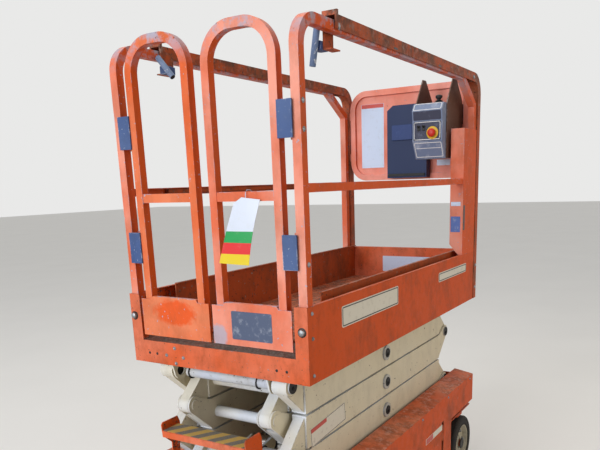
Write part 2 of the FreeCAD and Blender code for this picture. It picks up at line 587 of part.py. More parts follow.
def trays():
    """Swing-out trays between the wheels: batteries on the left, hydraulics on the right."""
    rear, front = "tray_floor_rear", "door_front - 4"
    door_y = ("chassis_half - skin - 3", "chassis_half - 3")
    inside = ("tray_inner", door_y[0])
    low = "door_low + skin"
    for side in SIDES:
        door = block(("door_rear", "door_front"), door_y, ("door_low", "band_low - 3"))
        floor = block((rear, front), inside, ("door_low", low))
        lip = block((rear, front), ("tray_inner", "tray_inner + skin"), (low, "door_low + 44"))
        ends = [block((x, f"{x} + skin"), inside, (low, "door_low + 74")) for x in (rear, f"{front} - skin")]
        knob = rod("Y", ("door_rear + 300", "band_low - 34"), "13", (door_y[1], "chassis_half - 0.5"))
        knuckles = []
        for _, _, start, end in TRAY_HINGES:
            knuckles.append(rod("Z", ("tray_hinge_x", "tray_hinge_y"), "tray_barrel", (start, end)))
            leaf_x = ("door_front - 20", "tray_hinge_x")
            knuckles.append(block(leaf_x, ("tray_hinge_y - skin", "tray_hinge_y"), (start, end)))
        finish("tray_" + side, on_side(side, fuse(door, floor, lip, *ends, knob, *knuckles)))
    ground = f"{low} + seat_gap"
    inner = "tray_inner + 12"
    middle = "(door_rear + door_front) / 2"
    rear = f"{middle} - battery_long / 2"
    top = f"{ground} + battery_tall"
    case = block((rear, f"{rear} + battery_long"), (inner, f"{inner} + battery_wide"), (ground, top))
    caps = [rod("Z", (f"{rear} + battery_long * ({n} + 0.5) / 6", f"{inner} + battery_wide / 2"), "22",
                (top, f"{top} + 8")) for n in range(6)]
    finish("battery_pack", fuse(case, *caps))
    tank_x = (f"{middle} - 260", f"{middle} - 260 + tank_long")
    tank = block(tank_x, (inner, f"{inner} + 160"), (ground, f"{ground} + 150"))
    filler = rod("Z", (f"{middle} - 230", f"{inner} + 80"), "20", (f"{ground} + 150", f"{ground} + 172"))
    pump_at = (f"{inner} + 80", f"{ground} + pump_radius + 6")
    pump = rod("X", pump_at, "pump_radius", (tank_x[1], f"{middle} + 230"))
    foot = block((f"{middle} + 20", f"{middle} + 60"), (f"{inner} + 50", f"{inner} + 110"),
                 (ground, f"{ground} + pump_radius"))
    finish("hydraulic_pack", mirrored(fuse(tank, filler, pump, foot)))


def pothole_guards():
    """Steel plates that lie flat under the trays and swing down when the platform rises."""
    for side in SIDES:
        hinge_y = "guard_hinge_y"
        leaf_x = ("door_rear + 20", "post_rear - 20")
        bar = rod("X", (hinge_y, "guard_hinge_z"), "guard_bar", ("arch_front - 2", "post_front + 2"))
        leaf = block(leaf_x, (f"{hinge_y} - guard_wide", hinge_y), ("guard_hinge_z - 4", "guard_hinge_z + 4"))
        edge = block(leaf_x, (f"{hinge_y} - guard_wide", f"{hinge_y} - guard_wide + 8"), ("guard_hinge_z - 16", "guard_hinge_z - 4"))
        finish("pothole_guard_" + side, on_side(side, fuse(bar, leaf, edge)))


def arm_end(half, kind):
    """One end of an arm in its own frame, drawn at +X with the pin above the tube.

    kind collar: a boss as wide as the bracket. kind wide: a boss as wide as the tube.
    kind ears: two lugs round the boss of the next arm.
    """
    pin = ("half_reach", "half_rise")
    reach, rise = "half_reach", "half_rise"
    low, high = "-arm_depth / 2 + 4", "arm_depth / 2"
    mid = f"({half})"
    if kind == "ears":
        shape = [("tube_end - 2", low), ("tube_end - 2", high), (reach, f"{rise} + lug_radius"),
                 (f"{reach} + lug_radius * 0.7", f"{rise} - lug_radius * 0.7")]
        web = [("tube_end - 2", low), ("tube_end - 2", "arm_depth / 2 - 4"), (f"{reach} - lug_radius - 6", f"{rise} - lug_radius - 4"),
               (f"{reach} - 6", f"{rise} - lug_radius - 14")]
        pieces = [outline("XZ", web, (f"{mid} - arm_width / 2 + ear", f"{mid} + arm_width / 2 - ear"))]
        for span in ((f"{mid} - arm_width / 2", f"{mid} - arm_width / 2 + ear"),
                     (f"{mid} + arm_width / 2 - ear", f"{mid} + arm_width / 2")):
            pieces.append(outline("XZ", shape, span))
            pieces.append(rod("Y", pin, "lug_radius", span))
        return fuse(*pieces)
    shape = [("tube_end - 2", low), ("tube_end - 2", high), (reach, f"{rise} + lug_radius"),
             (f"{reach} + lug_radius * 0.7", f"{rise} - lug_radius * 0.7")]
    span = (f"{mid} - collar_width / 2", f"{mid} + collar_width / 2")
    boss = span if kind == "collar" else (f"{mid} - arm_width / 2", f"{mid} + arm_width / 2")
    return fuse(outline("XZ", shape, span), rod("Y", pin, "lug_radius", boss))


def turned(thing):
    """The same piece at the other end of its arm: half a turn about the middle pin's line."""
    copy = mirrored(thing, Vector(1, 0, 0))
    return mirrored(copy, Vector(0, 0, 1))


def arm(half, top_kind, bottom_kind):
    """One arm in its own frame: middle pin at the origin, top end at +X."""
    tube = block(("-tube_end", "tube_end"), (f"({half}) - arm_width / 2", f"({half}) + arm_width / 2"),
                 ("-arm_depth / 2", "arm_depth / 2"))
    top = arm_end(half, top_kind)
    bottom = turned(arm_end(half, bottom_kind))
    solid = fuse(tube, top, bottom)
    reach = (f"({half}) - arm_width", f"({half}) + arm_width")
    holes = [rod("Y", ("0", "0"), "bore", reach)]
    for sign in ("", "-"):
        holes.append(rod("Y", (f"{sign}half_reach", f"{sign}half_rise"), "bore", reach))
    return cut(solid, *holes)


# Each level from the bottom: lean of the outer arms, +1 with their top ends at the front.
LEANS = {1: 1, 2: -1, 3: 1, 4: -1}


def stand(thing, level, lean):
    """Puts a piece drawn round its middle pin at its level, turned to lean the other way."""
    if lean < 0:
        thing.Placement = Placement(Vector(), Rotation(Vector(0, 0, 1), 180))
    return move(thing, "centre_x", None, f"first_pin_z + half_rise * {2 * level - 1}")


def scissor_arms():
    for level, lean in LEANS.items():
        outer_top = "wide" if level == 4 else "ears"
        outer_bottom = "wide" if level == 1 else "collar"
        right = arm("outer_mid", outer_top, outer_bottom)
        finish(f"outer_arms_{level}", stand(both_sides(right), level, lean))
        inner_frame(level, -lean)
        pivot_pins(level, lean)


def inner_frame(level, lean):
    """The inner pair of arms with their cross tubes, their end pins and their rollers."""
    top = "wide" if level == 4 else "ears"
    bottom = "wide" if level == 1 else "collar"
    one = arm("inner_mid", top, bottom)
    across = ("-inner_arm_y - 2", "inner_arm_y + 2")
    pieces = [both_sides(one)]
    front_x = "tube_end - cross_inset"
    rear_x = "-(tube_end - cross_inset)"
    if level == 1:
        # the lower end is at the front, so local -X is forward
        rear_x = "-(lift_base_x - centre_x)"
    if level == 2:
        rear_x = "-(half_reach - 70)"
    heights = {front_x: "0", rear_x: "-19" if level == 2 else "0"}
    for x in (front_x, rear_x):
        reach = across if x != rear_x or level != 2 else ("-inner_arm_y - 12", "inner_arm_y + 12")
        pieces.append(rod("Y", (x, heights[x]), "cross_radius", reach))
    pieces += end_pins(level)
    if level == 1:
        pieces.append(base_clevis())
    if level == 2:
        pieces.append(eye_clevis())
    finish(f"inner_arms_{level}", stand(fuse(*pieces), level, lean))


def end_pins(level):
    """Pins that the inner arms carry: through their lugs, or out to the rollers."""
    pieces = []
    if level < 4:
        span = ("inner_arm_y - 4", "inner_arm_y + arm_width + 4")
        pieces.append(both_sides(rod("Y", ("half_reach", "half_rise"), "pin_radius + running_gap", ("inner_arm_y - 4", "inner_arm_y + ear"))))
        pieces.append(both_sides(rod("Y", ("half_reach", "half_rise"), "pin_radius", span)))
        pieces.append(both_sides(rod("Y", ("half_reach", "half_rise"), "pin_radius + running_gap",
                                     ("inner_arm_y + arm_width - ear", "inner_arm_y + arm_width + 4"))))
    for number, sign in ((1, "-"), (4, "")):
        if level == number:
            at = (f"{sign}half_reach", f"{sign}half_rise")
            pieces.append(both_sides(rod("Y", at, "bore", ("roller_inner", "inner_arm_y + arm_width"))))
            pieces.append(both_sides(rod("Y", at, "roller_radius", ("roller_inner", "roller_outer"))))
    return pieces


def base_clevis():
    """Plates under the front cross tube of the lowest inner arms, for the cylinder's lower pin."""
    x = "-(lift_base_x - centre_x)"
    z = "lift_base_z - (first_pin_z + half_rise)"
    inner = "lift_eye_half + clevis_gap"
    span = (inner, f"{inner} + clevis_plate")
    plate = outline("XZ", [(f"{x} - 26", "cross_radius - 6"), (f"{x} + 26", "cross_radius - 6"), (f"{x} + 26", z), (f"{x} - 26", z)], span)
    cheek = fuse(plate, rod("Y", (x, z), "26", span))
    pin = rod("Y", (x, z), "pin_radius - 4", (f"-{inner} - clevis_plate - 4", f"{inner} + clevis_plate + 4"))
    return fuse(both_sides(cheek), pin)


def eye_clevis():
    """Plates ahead of the rear cross tube of the second inner arms, where the rod's eye sits."""
    x = "lift_eye_x - centre_x"
    z = "lift_eye_z - (first_pin_z + 3 * half_rise)"
    tube_x = "-(half_reach - 70)"
    inner = "lift_eye_half + clevis_gap"
    span = (inner, f"{inner} + clevis_plate")
    plate = outline("XZ", [(tube_x, "-38"), (tube_x, "6"), (x, f"{z} + 26"), (f"{x} + 18", f"{z} - 18")], span)
    return both_sides(fuse(plate, rod("Y", (x, z), "26", span)))


def pivot_pins(level, lean):
    """Middle pins with their bosses and, at the upper end, the shaft across to the next level."""
    outer = "outer_arm_y + arm_width"
    middle = rod("Y", ("0", "0"), "pin_radius", ("inner_arm_y - 3", outer))
    fixed = rod("Y", ("0", "0"), "bore", ("outer_arm_y", outer))
    boss = rod("Y", ("0", "0"), "boss_radius", (outer, f"{outer} + boss_proud"))
    head = rod("Y", ("0", "0"), "boss_radius - 12", (f"{outer} + boss_proud", f"{outer} + boss_proud + 1"))
    keeper = rod("Y", ("0", "0"), "pin_radius + 5", ("inner_arm_y - 6", "inner_arm_y - 1"))
    at = ("half_reach", "half_rise")
    pieces = [both_sides(fuse(middle, fixed, boss, head, keeper))]
    pieces.append(rod("Y", at, "pin_radius", (f"-{outer} - 4", f"{outer} + 4")))
    if level == 4:
        seats = ("outer_arm_y", outer)
        pieces.append(both_sides(rod("Y", at, "bore", seats)))
        pieces.append(both_sides(rod("Y", at, "lug_radius - 9", (outer, f"{outer} + 6"))))
    else:
        for span in (("outer_arm_y", "outer_arm_y + ear"), (f"{outer} - ear", outer)):
            pieces.append(both_sides(rod("Y", at, "bore", span)))
        pieces.append(both_sides(rod("Y", at, "pin_radius + 6", (outer, f"{outer} + 5"))))
    finish(f"pivot_pins_{level}", stand(fuse(*pieces), level, lean))


def lift_cylinder():
    """Barrel and rod along the line from the lower pin to the rod's eye."""
    front_pin = S["rear_pin_x"] + S["arm_span"] * math.cos(math.radians(S["stow_angle"]))
    run = S["lift_eye_x"] - (front_pin - S["lift_base_inset"])
    slope = math.degrees(math.atan2(S["lift_eye_z"] - S["lift_base_z"], run))
    tilt = Rotation(Vector(0, -1, 0), slope)
    length = "sqrt((lift_base_x - lift_eye_x)^2 + (lift_eye_z - lift_base_z)^2)"
    half = ("-lift_eye_half", "lift_eye_half")
    base = rod("Y", ("0", "0"), "lift_eye_radius", half)
    neck = block(("0", "60"), half, ("-lift_rod_radius", "lift_rod_radius"))
    shell = rod("X", ("0", "0"), "lift_barrel_radius", ("45", f"{length} - lift_gland"))
    gland = rod("X", ("0", "0"), "lift_barrel_radius + 4", (f"{length} - lift_gland - 50", f"{length} - lift_gland"))
    port = rod("Z", ("110", "0"), "10", ("0", "lift_barrel_radius + 12"))
    solid = fuse(base, neck, shell, gland, port)
    hole = rod("Y", ("0", "0"), "pin_radius - 4 + running_gap", ("-60", "60"))
    bore_room = rod("X", ("0", "0"), "lift_rod_radius + running_gap", ("110", f"{length} + 10"))
    barrel = cut(solid, hole, bore_room)
    shaft = rod("X", ("0", "0"), "lift_rod_radius", ("140", f"{length} - 10"))
    eye = rod("Y", (length, "0"), "lift_eye_radius", half)
    plug = rod("Y", (length, "0"), "pin_radius - 4", ("-lift_eye_half - 0.2", "lift_eye_half + 0.2"))
    for label, thing in (("lift_barrel", barrel), ("lift_rod", fuse(shaft, eye, plug))):
        thing.Placement = Placement(Vector(), tilt)
        move(thing, "lift_base_x", "0", "lift_base_z")
        finish(label, thing)


def platform_deck():
    """Deck plate on its beams, with the rear pads under the extension's deck."""
    deck = block(("platform_rear + skin", "main_front"), ("skin - platform_half", "platform_half - skin"),
                 ("floor_top - floor_sheet", "floor_top"))
    pads = both_sides(block(("main_front - 90", "main_front - 10"), ("deck_half - 70", "deck_half - 20"),
                            ("floor_top - 1", "deck_low - seat_gap")))
    finish("platform_deck", fuse(deck, pads))


def platform_beams():
    """Beams under the deck plate and the lugs on the upper shaft."""
    under = ("beam_low", "floor_top - floor_sheet")
    rear, inside = "platform_rear + skin", "platform_half - skin"
    side = block((rear, "main_front"), (f"{inside} - beam_wide", inside), under)
    step = "(main_front - platform_rear - beam_wide - skin) / 4"
    ribs = [block((f"{rear} + {step} * {n}", f"{rear} + {step} * {n} + beam_wide"), (f"-({inside})", inside), under)
            for n in range(5)]
    at = ("rear_pin_x", "top_pin_z")
    span = ("outer_arm_y - ear - 8", "outer_arm_y - 8")
    foot = [("rear_pin_x - 45", "beam_low + 2"), ("rear_pin_x - 34", "top_pin_z"), ("rear_pin_x + 34", "top_pin_z"),
            ("rear_pin_x + 70", "beam_low + 2")]
    lug = cut(fuse(outline("XZ", foot, span), rod("Y", at, "lug_radius", span)), rod("Y", at, "bore", ("0", "400")))
    finish("platform_beams", fuse(both_sides(side), *ribs, both_sides(lug)))


def platform_channels():
    """The top rollers' channels under the beams."""
    finish("platform_channels", both_sides(roller_channel("top_pin_z", "track_rear", "track_front", "beam_low")))


def platform_sides():
    """Side toe boards with folded tops, the rear sill and the corner plates."""
    low, top, outer = "platform_low", "toe_top", "platform_half"
    board = block(("platform_rear", "main_front"), (f"{outer} - skin", outer), (low, top))
    fold = block(("rear_post_x + rail_tube", "front_post_x"), (f"{outer} - toe_flange", outer), (f"{top} - skin", top))
    corner = block(("platform_rear", "platform_rear + skin"), ("corner_inner", outer), ("floor_top", top))
    sill = block(("platform_rear", "platform_rear + skin"), (f"-{outer}", outer), (low, "floor_top"))
    finish("platform_sides", fuse(both_sides(fuse(board, fold, corner)), sill))


def guard_hoop():
    """One side's bent tube: rear post, top rail, slope and front post."""
    rear, tube, bend, top = "rear_post_x", "rail_tube", "rail_bend", "rail_top"
    front, slope = "front_post_x", "rail_slope_x"
    span = ("rail_inner", "rail_outer")
    corner = (f"{rear} + {bend}", f"{top} - {bend}")
    outside = outline("XZ", [(rear, "floor_top"), (rear, corner[1]), corner, (corner[0], top),
                             (f"{slope} + {tube} * 0.3", top),
                             (f"{front} + {tube}", f"rail_slope_z + {tube} * 0.55"),
                             (f"{front} + {tube}", "floor_top")], span)
    wide = ("rail_inner - 1", "rail_outer + 1")
    inside = outline("XZ", [(f"{rear} + {tube}", "floor_top - 1"), (f"{rear} + {tube}", corner[1]), corner,
                            (corner[0], f"{top} - {tube}"), (slope, f"{top} - {tube}"), (front, "rail_slope_z"),
                            (front, "floor_top - 1")], wide)
    return cut(fuse(outside, rod("Y", corner, bend, span)), inside, rod("Y", corner, f"{bend} - {tube}", wide))


def main_rails():
    """Fixed rails of each side. The right one has a wide plate post that stiffens it."""
    mid = ("mid_rail_z - mid_rail_tall / 2", "mid_rail_z + mid_rail_tall / 2")
    mid_x = ("rear_post_x + rail_tube", "front_post_x")
    for side in SIDES:
        pieces = [guard_hoop(), block(mid_x, ("rail_outer - 3", "rail_outer"), mid)]
        for z in ((mid[0], f"{mid[0]} + 3"), (f"{mid[1]} - 3", mid[1])):
            pieces.append(block(mid_x, ("rail_inner", "rail_outer"), z))
        pieces += [gate_bracket(z) for z in ("hinge_upper", "hinge_lower")]
        if side == "right":
            pieces += stanchion()
        clear = "slide_clear"
        window = block(("stanchion_rear - 1", "main_front"),
                       (f"slide_rail_y - {clear}", f"slide_rail_y + slide_rail + {clear}"),
                       (f"mid_rail_z - slide_rail / 2 - {clear}", f"mid_rail_z + slide_rail / 2 + {clear}"))
        finish("main_rails_" + side, on_side(side, cut(fuse(*pieces), window)))


def stanchion():
    """The wide post: a side plate and a flange with a slanted foot."""
    outer, rear = "platform_half", "stanchion_rear"
    flange = outline("YZ", [(outer, "toe_top"), (outer, "stanchion_top"), (f"{outer} - stanchion_deep", "stanchion_top"),
                            (f"{outer} - stanchion_deep", "stanchion_low"), (f"{outer} - toe_flange - 8", "toe_top")],
                     (rear, f"{rear} + skin"))
    face = block((rear, "main_front"), (f"{outer} - skin", outer), ("toe_top", "stanchion_top"))
    return [flange, face]


def gate_bracket(z):
    """The post's half of one gate hinge: two barrels, above and below the gate's own."""
    pieces = []
    for low, high in (("34", "58"), ("-58", "-34")):
        span = (f"{z} + {low}", f"{z} + {high}")
        pieces.append(rod("Z", ("hinge_x", "hinge_line"), "hinge_radius", span))
        pieces.append(block(("hinge_x - 17", "hinge_x + 6"), ("hinge_line", "rail_inner + 1"), span))
    return fuse(*pieces)


def soft_slab(y, z, radius, x, lower_too=True):
    """An upright sheet with rounded corners: all four of them, or only the upper two."""
    sides = (f"{y[0]} + {radius}", f"{y[1]} - {radius}")
    low, high = f"{z[0]} + {radius}", f"{z[1]} - {radius}"
    pieces = [block(x, y, (low if lower_too else z[0], high)), block(x, sides, z)]
    for height in ((low, high) if lower_too else (high,)):
        pieces += [rod("X", (side, height), radius, x) for side in sides]
    return fuse(*pieces)


def gates():
    """Two saloon gates that open inwards: arched tube, mid rail and kick plate."""
    tube, outer = "gate_tube", "gate_outer"
    depth = ("gate_rear", f"gate_rear + {tube}")
    through = ("gate_rear - 1", f"gate_rear + {tube} + 1")
    for side in SIDES:
        free = "gate_left_end" if side == "left" else "gate_right_end"
        bend = f"(({outer} - {free}) * gate_arch)"
        arch = cut(soft_slab((free, outer), ("gate_low", "gate_top"), bend, depth, False),
                   soft_slab((f"{free} + {tube}", f"{outer} - {tube}"), ("gate_low - 1", f"gate_top - {tube}"),
                             f"({bend} - {tube})", through, False))
        mid = block(("gate_rear + 2", f"gate_rear + {tube} - 2"), (f"{free} + {tube} - 2", f"{outer} - {tube} + 2"),
                    (f"gate_mid_z - {tube} / 2", f"gate_mid_z + {tube} / 2"))
        ends = (f"{free} - gate_kick_over", f"{outer} + gate_kick_over")
        ear, top = "gate_kick_ear", "gate_kick_top"
        kick = outline("YZ", [(ends[0], "gate_low"), (ends[1], "gate_low"), (ends[1], ear), (f"{outer} - {tube}", ear),
                              (f"{outer} - {tube} - 6", top), (f"{free} + {tube} + 6", top), (f"{free} + {tube}", ear),
                              (ends[0], ear)], ("gate_rear - gate_sheet", "gate_rear"))
        lip = block(("gate_rear - gate_sheet", "gate_rear + 12"), (f"{free} + {tube} + 6", f"{outer} - {tube} - 6"),
                    (f"{top} - gate_sheet", top))
        finish("gate_" + side, on_side(side, fuse(arch, mid, kick, lip)))
        finish("gate_hinges_" + side, on_side(side, gate_hinges()))


def gate_hinges():
    """The gate's halves of its hinges: middle barrel, strap to the tube and the cover plate over the gap."""
    pieces = []
    for z in ("hinge_upper", "hinge_lower"):
        high = (f"{z} - hinge_tall / 2", f"{z} + hinge_tall / 2")
        plate_x = ("gate_rear - hinge_plate", "gate_rear")
        short = (f"{z} - 33", f"{z} + 33")
        pieces.append(fuse(rod("Z", ("hinge_x", "hinge_line"), "hinge_radius", (f"{z} - 33.4", f"{z} + 33.4")),
                           block(("hinge_x - 8", "hinge_x"), ("gate_outer", "hinge_line"), short),
                           block(("gate_rear - 1", "hinge_x"), ("gate_outer", "gate_outer + 5"), short),
                           block(plate_x, ("gate_outer - 3", "rail_inner + 7"), high)))
    return fuse(*pieces)


def extension_deck():
    """Roll-out deck: plate, side toe boards with folded tops and the front toe board."""
    front, outer = "deck_front - front_post_deep", "deck_half"
    deck = block(("deck_rear", front), (f"-{outer}", outer), ("deck_low", "deck_low + floor_sheet"))
    side = outline("YZ", [(outer, "deck_low"), (outer, "side_toe_top"), (f"{outer} - side_toe_flange", "side_toe_top"),
                          (f"{outer} - side_toe_flange", "side_toe_top - skin"), (f"{outer} - skin", "side_toe_top - skin"),
                          (f"{outer} - skin", "deck_low")], ("deck_rear", front))
    pads = both_sides(block(("deck_rear + 10", "deck_rear + 90"), (f"{outer} - 70", f"{outer} - 20"),
                            ("floor_top + seat_gap", "deck_low + 1")))
    finish("extension_deck", fuse(deck, both_sides(side), pads))
    across = ("-channel_inner", "channel_inner")
    toe = block((front, f"{front} + skin"), across, ("deck_low", "front_toe_top"))
    fold = block((front, f"{front} + 22"), across, ("front_toe_top - skin", "front_toe_top"))
    finish("extension_toe_board", fuse(toe, fold))


def extension_rails():
    """Each side's channel over the fixed top rail, turned down into the front post, with its mid rail."""
    inner, outer, top, low = "channel_inner", "channel_outer", "channel_top", "channel_low"
    span, wide = (inner, outer), (f"{inner} - 1", f"{outer} + 1")
    front, bend = "deck_front", "front_post_bend"
    rear_post = f"{front} - front_post_deep"
    x, z = f"{front} - {bend}", f"{top} - {bend}"
    hollow = (f"{inner} + channel_wall", f"{outer} - channel_wall")
    for side in SIDES:
        tube = block(("channel_rear", x), span, (low, top))
        post = block((rear_post, front), span, ("platform_low", z))
        turn = cut(rod("Y", (x, z), bend, span), rod("Y", (x, z), f"{bend} - front_post_deep", wide),
                   block((f"{x} - {bend} - 1", x), wide, (f"{z} - {bend} - 1", f"{top} + 1")),
                   block((f"{x} - {bend} - 1", f"{front} + 1"), wide, (f"{z} - {bend} - 1", z)))
        collar = block(("channel_rear", "channel_rear + 10"), (f"{inner} - 5", f"{outer} + 5"), (f"{low} - 2", f"{top} + 12"))
        room = block(("channel_rear - 1", x), hollow, (f"{low} - 10", f"{top} - channel_wall"))
        slide = block(("channel_rear", rear_post), ("slide_rail_y", "slide_rail_y + slide_rail"),
                      ("mid_rail_z - slide_rail / 2", "mid_rail_z + slide_rail / 2"))
        lock_x = ("channel_rear + 2", "channel_rear + 62")
        cheek = block(lock_x, (f"{inner} - 5", inner), ("lock_low", f"{top} - 20"))
        shelf = block(lock_x, (f"{inner} - 5", f"{inner} + 25"), ("lock_low", "lock_low + 4"))
        whole = fuse(cut(fuse(tube, collar), room), turn, post, slide, cheek, shelf)
        finish("extension_rail_" + side, on_side(side, whole))


def slide_locks():
    """The latch at each channel's rear end: a small box and a leaning handle tube."""
    box = block(("channel_rear - 54", "channel_rear + 2"), ("channel_inner - 4", "channel_inner + 26"),
                ("lock_low - 5", "lock_low + 20"))
    tube = doc.addObject("Part::Cylinder", "Rod")
    tube.Placement = Placement(Vector(), Rotation(Vector(0, 1, 0), S["lock_lean"]))
    drive(tube, Radius="lock_tube", Height="lock_long")
    move(tube, "channel_rear - 73", "channel_inner + 12", "lock_low - 57")
    finish("slide_locks", both_sides(fuse(box, tube)))


def front_panel():
    """Sheet with rounded corners in a bent tube, tied to the front posts."""
    half, tube, low, top, bend = "panel_half", "panel_tube", "panel_low", "panel_top", "panel_bend"
    depth = ("panel_x", f"panel_x + {tube}")
    rim = cut(soft_slab((f"-{half}", half), (low, top), bend, depth),
              soft_slab((f"{tube} - {half}", f"{half} - {tube}"), (f"{low} + {tube}", f"{top} - {tube}"),
                        f"({bend} - {tube})", (f"{depth[0]} - 1", f"{depth[1]} + 1")))
    inset = f"({tube} - 2)"
    web = soft_slab((f"{inset} - {half}", f"{half} - {inset}"), (f"{low} + {inset}", f"{top} - {inset}"),
                    f"({bend} - {inset})", ("panel_sheet_x", "panel_sheet_x + panel_sheet"))
    ties = [both_sides(block(depth, (f"{half} - 1", "channel_inner"), (z, f"{z} + 40")))
            for z in (f"{low} + 110", f"{top} - 150")]
    finish("front_panel", fuse(rim, web, *ties))


def document_box():
    """Flat box for the papers, with cut upper corners and a raised lid."""
    right, left, low, high = "manual_right", "manual_left", "manual_low", "manual_high"
    rear = "panel_x - manual_deep"
    body = outline("YZ", [(right, low), (left, low), (left, f"{high} - 26"), (f"{left} - 34", high),
                          (f"{right} + 34", high), (right, f"{high} - 26")], (rear, "panel_x - seat_gap"))
    lid = block((f"{rear} - 4", rear), (f"{right} + 8", f"{left} - 8"), (f"{high} - 130", f"{high} - 30"))
    finish("document_box", fuse(body, lid))


def control_box():
    """Operator's box between two leaf-shaped guards on a pad that is screwed to the front panel."""
    x, z, tall = "control_x", "control_z", "guard_tall"
    left, right = "control_y + control_wide / 2", "control_y - control_wide / 2"
    back, top = f"{x} + control_deep", f"{z} + control_tall"
    case = outline("XZ", [(f"{x} + 46", z), (x, f"{z} + 84"), (x, f"{top} - 82"), (f"{x} - 8", f"{top} - 34"),
                          (f"{x} + 16", top), (back, top), (back, z)], (right, left))
    finish("control_box", case)
    rear, front = f"{x} + 50", f"{x} + 50 + guard_long"
    leaf = [(f"{rear} + 5", z), (f"{rear} + 53", z), (front, f"{z} + {tall} * 0.4"), (front, f"{z} + {tall} * 0.73"),
            (f"{rear} + guard_long * 0.56", f"{z} + {tall}"), (f"{rear} + guard_long * 0.38", f"{z} + {tall}"),
            (f"{rear} + 5", f"{z} + {tall} * 0.69"), (rear, f"{z} + {tall} * 0.2")]
    sheets = [(f"{right} - seat_gap - guard_sheet", f"{right} - seat_gap"),
              (f"{left} + seat_gap", f"{left} + seat_gap + guard_sheet")]
    pad = block((front, "panel_sheet_x"), (sheets[0][0], sheets[1][1]), (f"{z} + {tall} * 0.45", f"{z} + {tall} * 0.7"))
    finish("control_guards", fuse(*[outline("XZ", leaf, span) for span in sheets], pad))
    button_at, stick_at = ("control_y - 28", f"{z} + 120"), (f"{x} + 75", "control_y - 31")
    button = fuse(rod("X", button_at, "29", (f"{x} - 6", x)), rod("X", button_at, "19", (f"{x} - 26", f"{x} - 5")))
    stick = fuse(rod("Z", stick_at, "9", (top, f"{top} + 12")), rod("Z", stick_at, "15", (f"{top} + 10", f"{top} + 38")))
    finish("control_knobs", fuse(button, stick))


def check_and_write():
    doc.recompute()
    bad = [f"{one.Name} {one.Label}: {one.State}" for one in doc.Objects if "Invalid" in one.State or "Error" in one.State]
    for one in parts:
        shape = one.Shape
        if shape.isNull() or not shape.isValid() or not shape.Solids:
            bad.append(f"{one.Label}: bad shape")
    if bad:
        raise RuntimeError("; ".join(bad))
    os.makedirs("parts", exist_ok=True)
    for one in parts:
        one.Shape.exportStep(f"parts/{one.Label}.step")
        print(one.Label, len(one.Shape.Solids), round(one.Shape.Volume / 1e6, 2), one.Shape.BoundBox)


fill_sheet()
chassis_tub()
chassis_sides()
chassis_channels()
side_covers()
entry_ladder()
rear_axles()
wheels()
steer_yokes()
trays()
pothole_guards()
scissor_arms()
lift_cylinder()
platform_deck()
platform_beams()
platform_channels()
platform_sides()
main_rails()
gates()
extension_deck()
extension_rails()
slide_locks()
front_panel()
document_box()
control_box()
check_and_write()
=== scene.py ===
"""Looks of the scissor lift: worn enamel, plastics, rubber, treads, blank plates and small fittings.

Pieces are drawn in millimetres in the CAD frame. The deck rolls out towards +X, the gates are at the -X end,
and +Y is the left side."""
import math

import bmesh
import bpy
from mathutils import Matrix, Vector


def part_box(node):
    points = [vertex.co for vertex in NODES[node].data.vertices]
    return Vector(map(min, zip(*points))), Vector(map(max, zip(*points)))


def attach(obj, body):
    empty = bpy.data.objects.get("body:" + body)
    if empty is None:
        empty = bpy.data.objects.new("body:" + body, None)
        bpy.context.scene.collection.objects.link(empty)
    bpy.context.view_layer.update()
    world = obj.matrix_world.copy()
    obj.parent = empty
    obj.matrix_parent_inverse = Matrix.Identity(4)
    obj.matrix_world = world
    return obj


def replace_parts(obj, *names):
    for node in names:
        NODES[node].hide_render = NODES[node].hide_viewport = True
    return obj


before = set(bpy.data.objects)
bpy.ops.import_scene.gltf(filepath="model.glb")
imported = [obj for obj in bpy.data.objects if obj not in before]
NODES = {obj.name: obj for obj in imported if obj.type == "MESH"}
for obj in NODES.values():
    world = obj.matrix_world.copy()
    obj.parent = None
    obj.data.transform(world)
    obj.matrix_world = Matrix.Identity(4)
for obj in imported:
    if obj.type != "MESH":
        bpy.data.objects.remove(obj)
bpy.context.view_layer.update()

MM = 0.001
SIDES = {"left": 1, "right": -1}
LEVELS = (1, 2, 3, 4)
X, Y, Z = Vector((1, 0, 0)), Vector((0, 1, 0)), Vector((0, 0, 1))
# The four rounded corners of a sheet: which side and end each is at, and the angle at which its arc starts.
QUARTERS = ((1, 1, 0), (-1, 1, 90), (-1, -1, 180), (1, -1, 270))
OLD_RUST = "4F382C"


def linear(hexed):
    """An sRGB hex colour as Blender's linear values."""
    parts = [int(hexed[i:i + 2], 16) / 255 for i in (0, 2, 4)]
    return tuple(c / 12.92 if c <= 0.04045 else ((c + 0.055) / 1.055) ** 2.4 for c in parts) + (1.0,)


def per(size_mm):
    """The scale that makes a pattern's blobs about size_mm across."""
    return 1 / (size_mm * MM)


def node(tree, kind, links=None, output=0, **settings):
    """Adds one node with its settings and its links, and gives back one of its outputs."""
    made = tree.nodes.new(kind)
    for name, value in settings.items():
        setattr(made, name, value)
    for socket, value in (links or {}).items():
        if isinstance(value, bpy.types.NodeSocket):
            tree.links.new(value, made.inputs[socket])
        else:
            made.inputs[socket].default_value = value
    return made.outputs[output] if made.outputs else made


def new_material(name):
    """A material with an empty tree, and the object's own coordinates to place its patterns by."""
    material = bpy.data.materials.new(name)
    material.use_nodes = True
    tree = material.node_tree
    tree.nodes.clear()
    return material, tree, node(tree, "ShaderNodeTexCoord", output="Object")


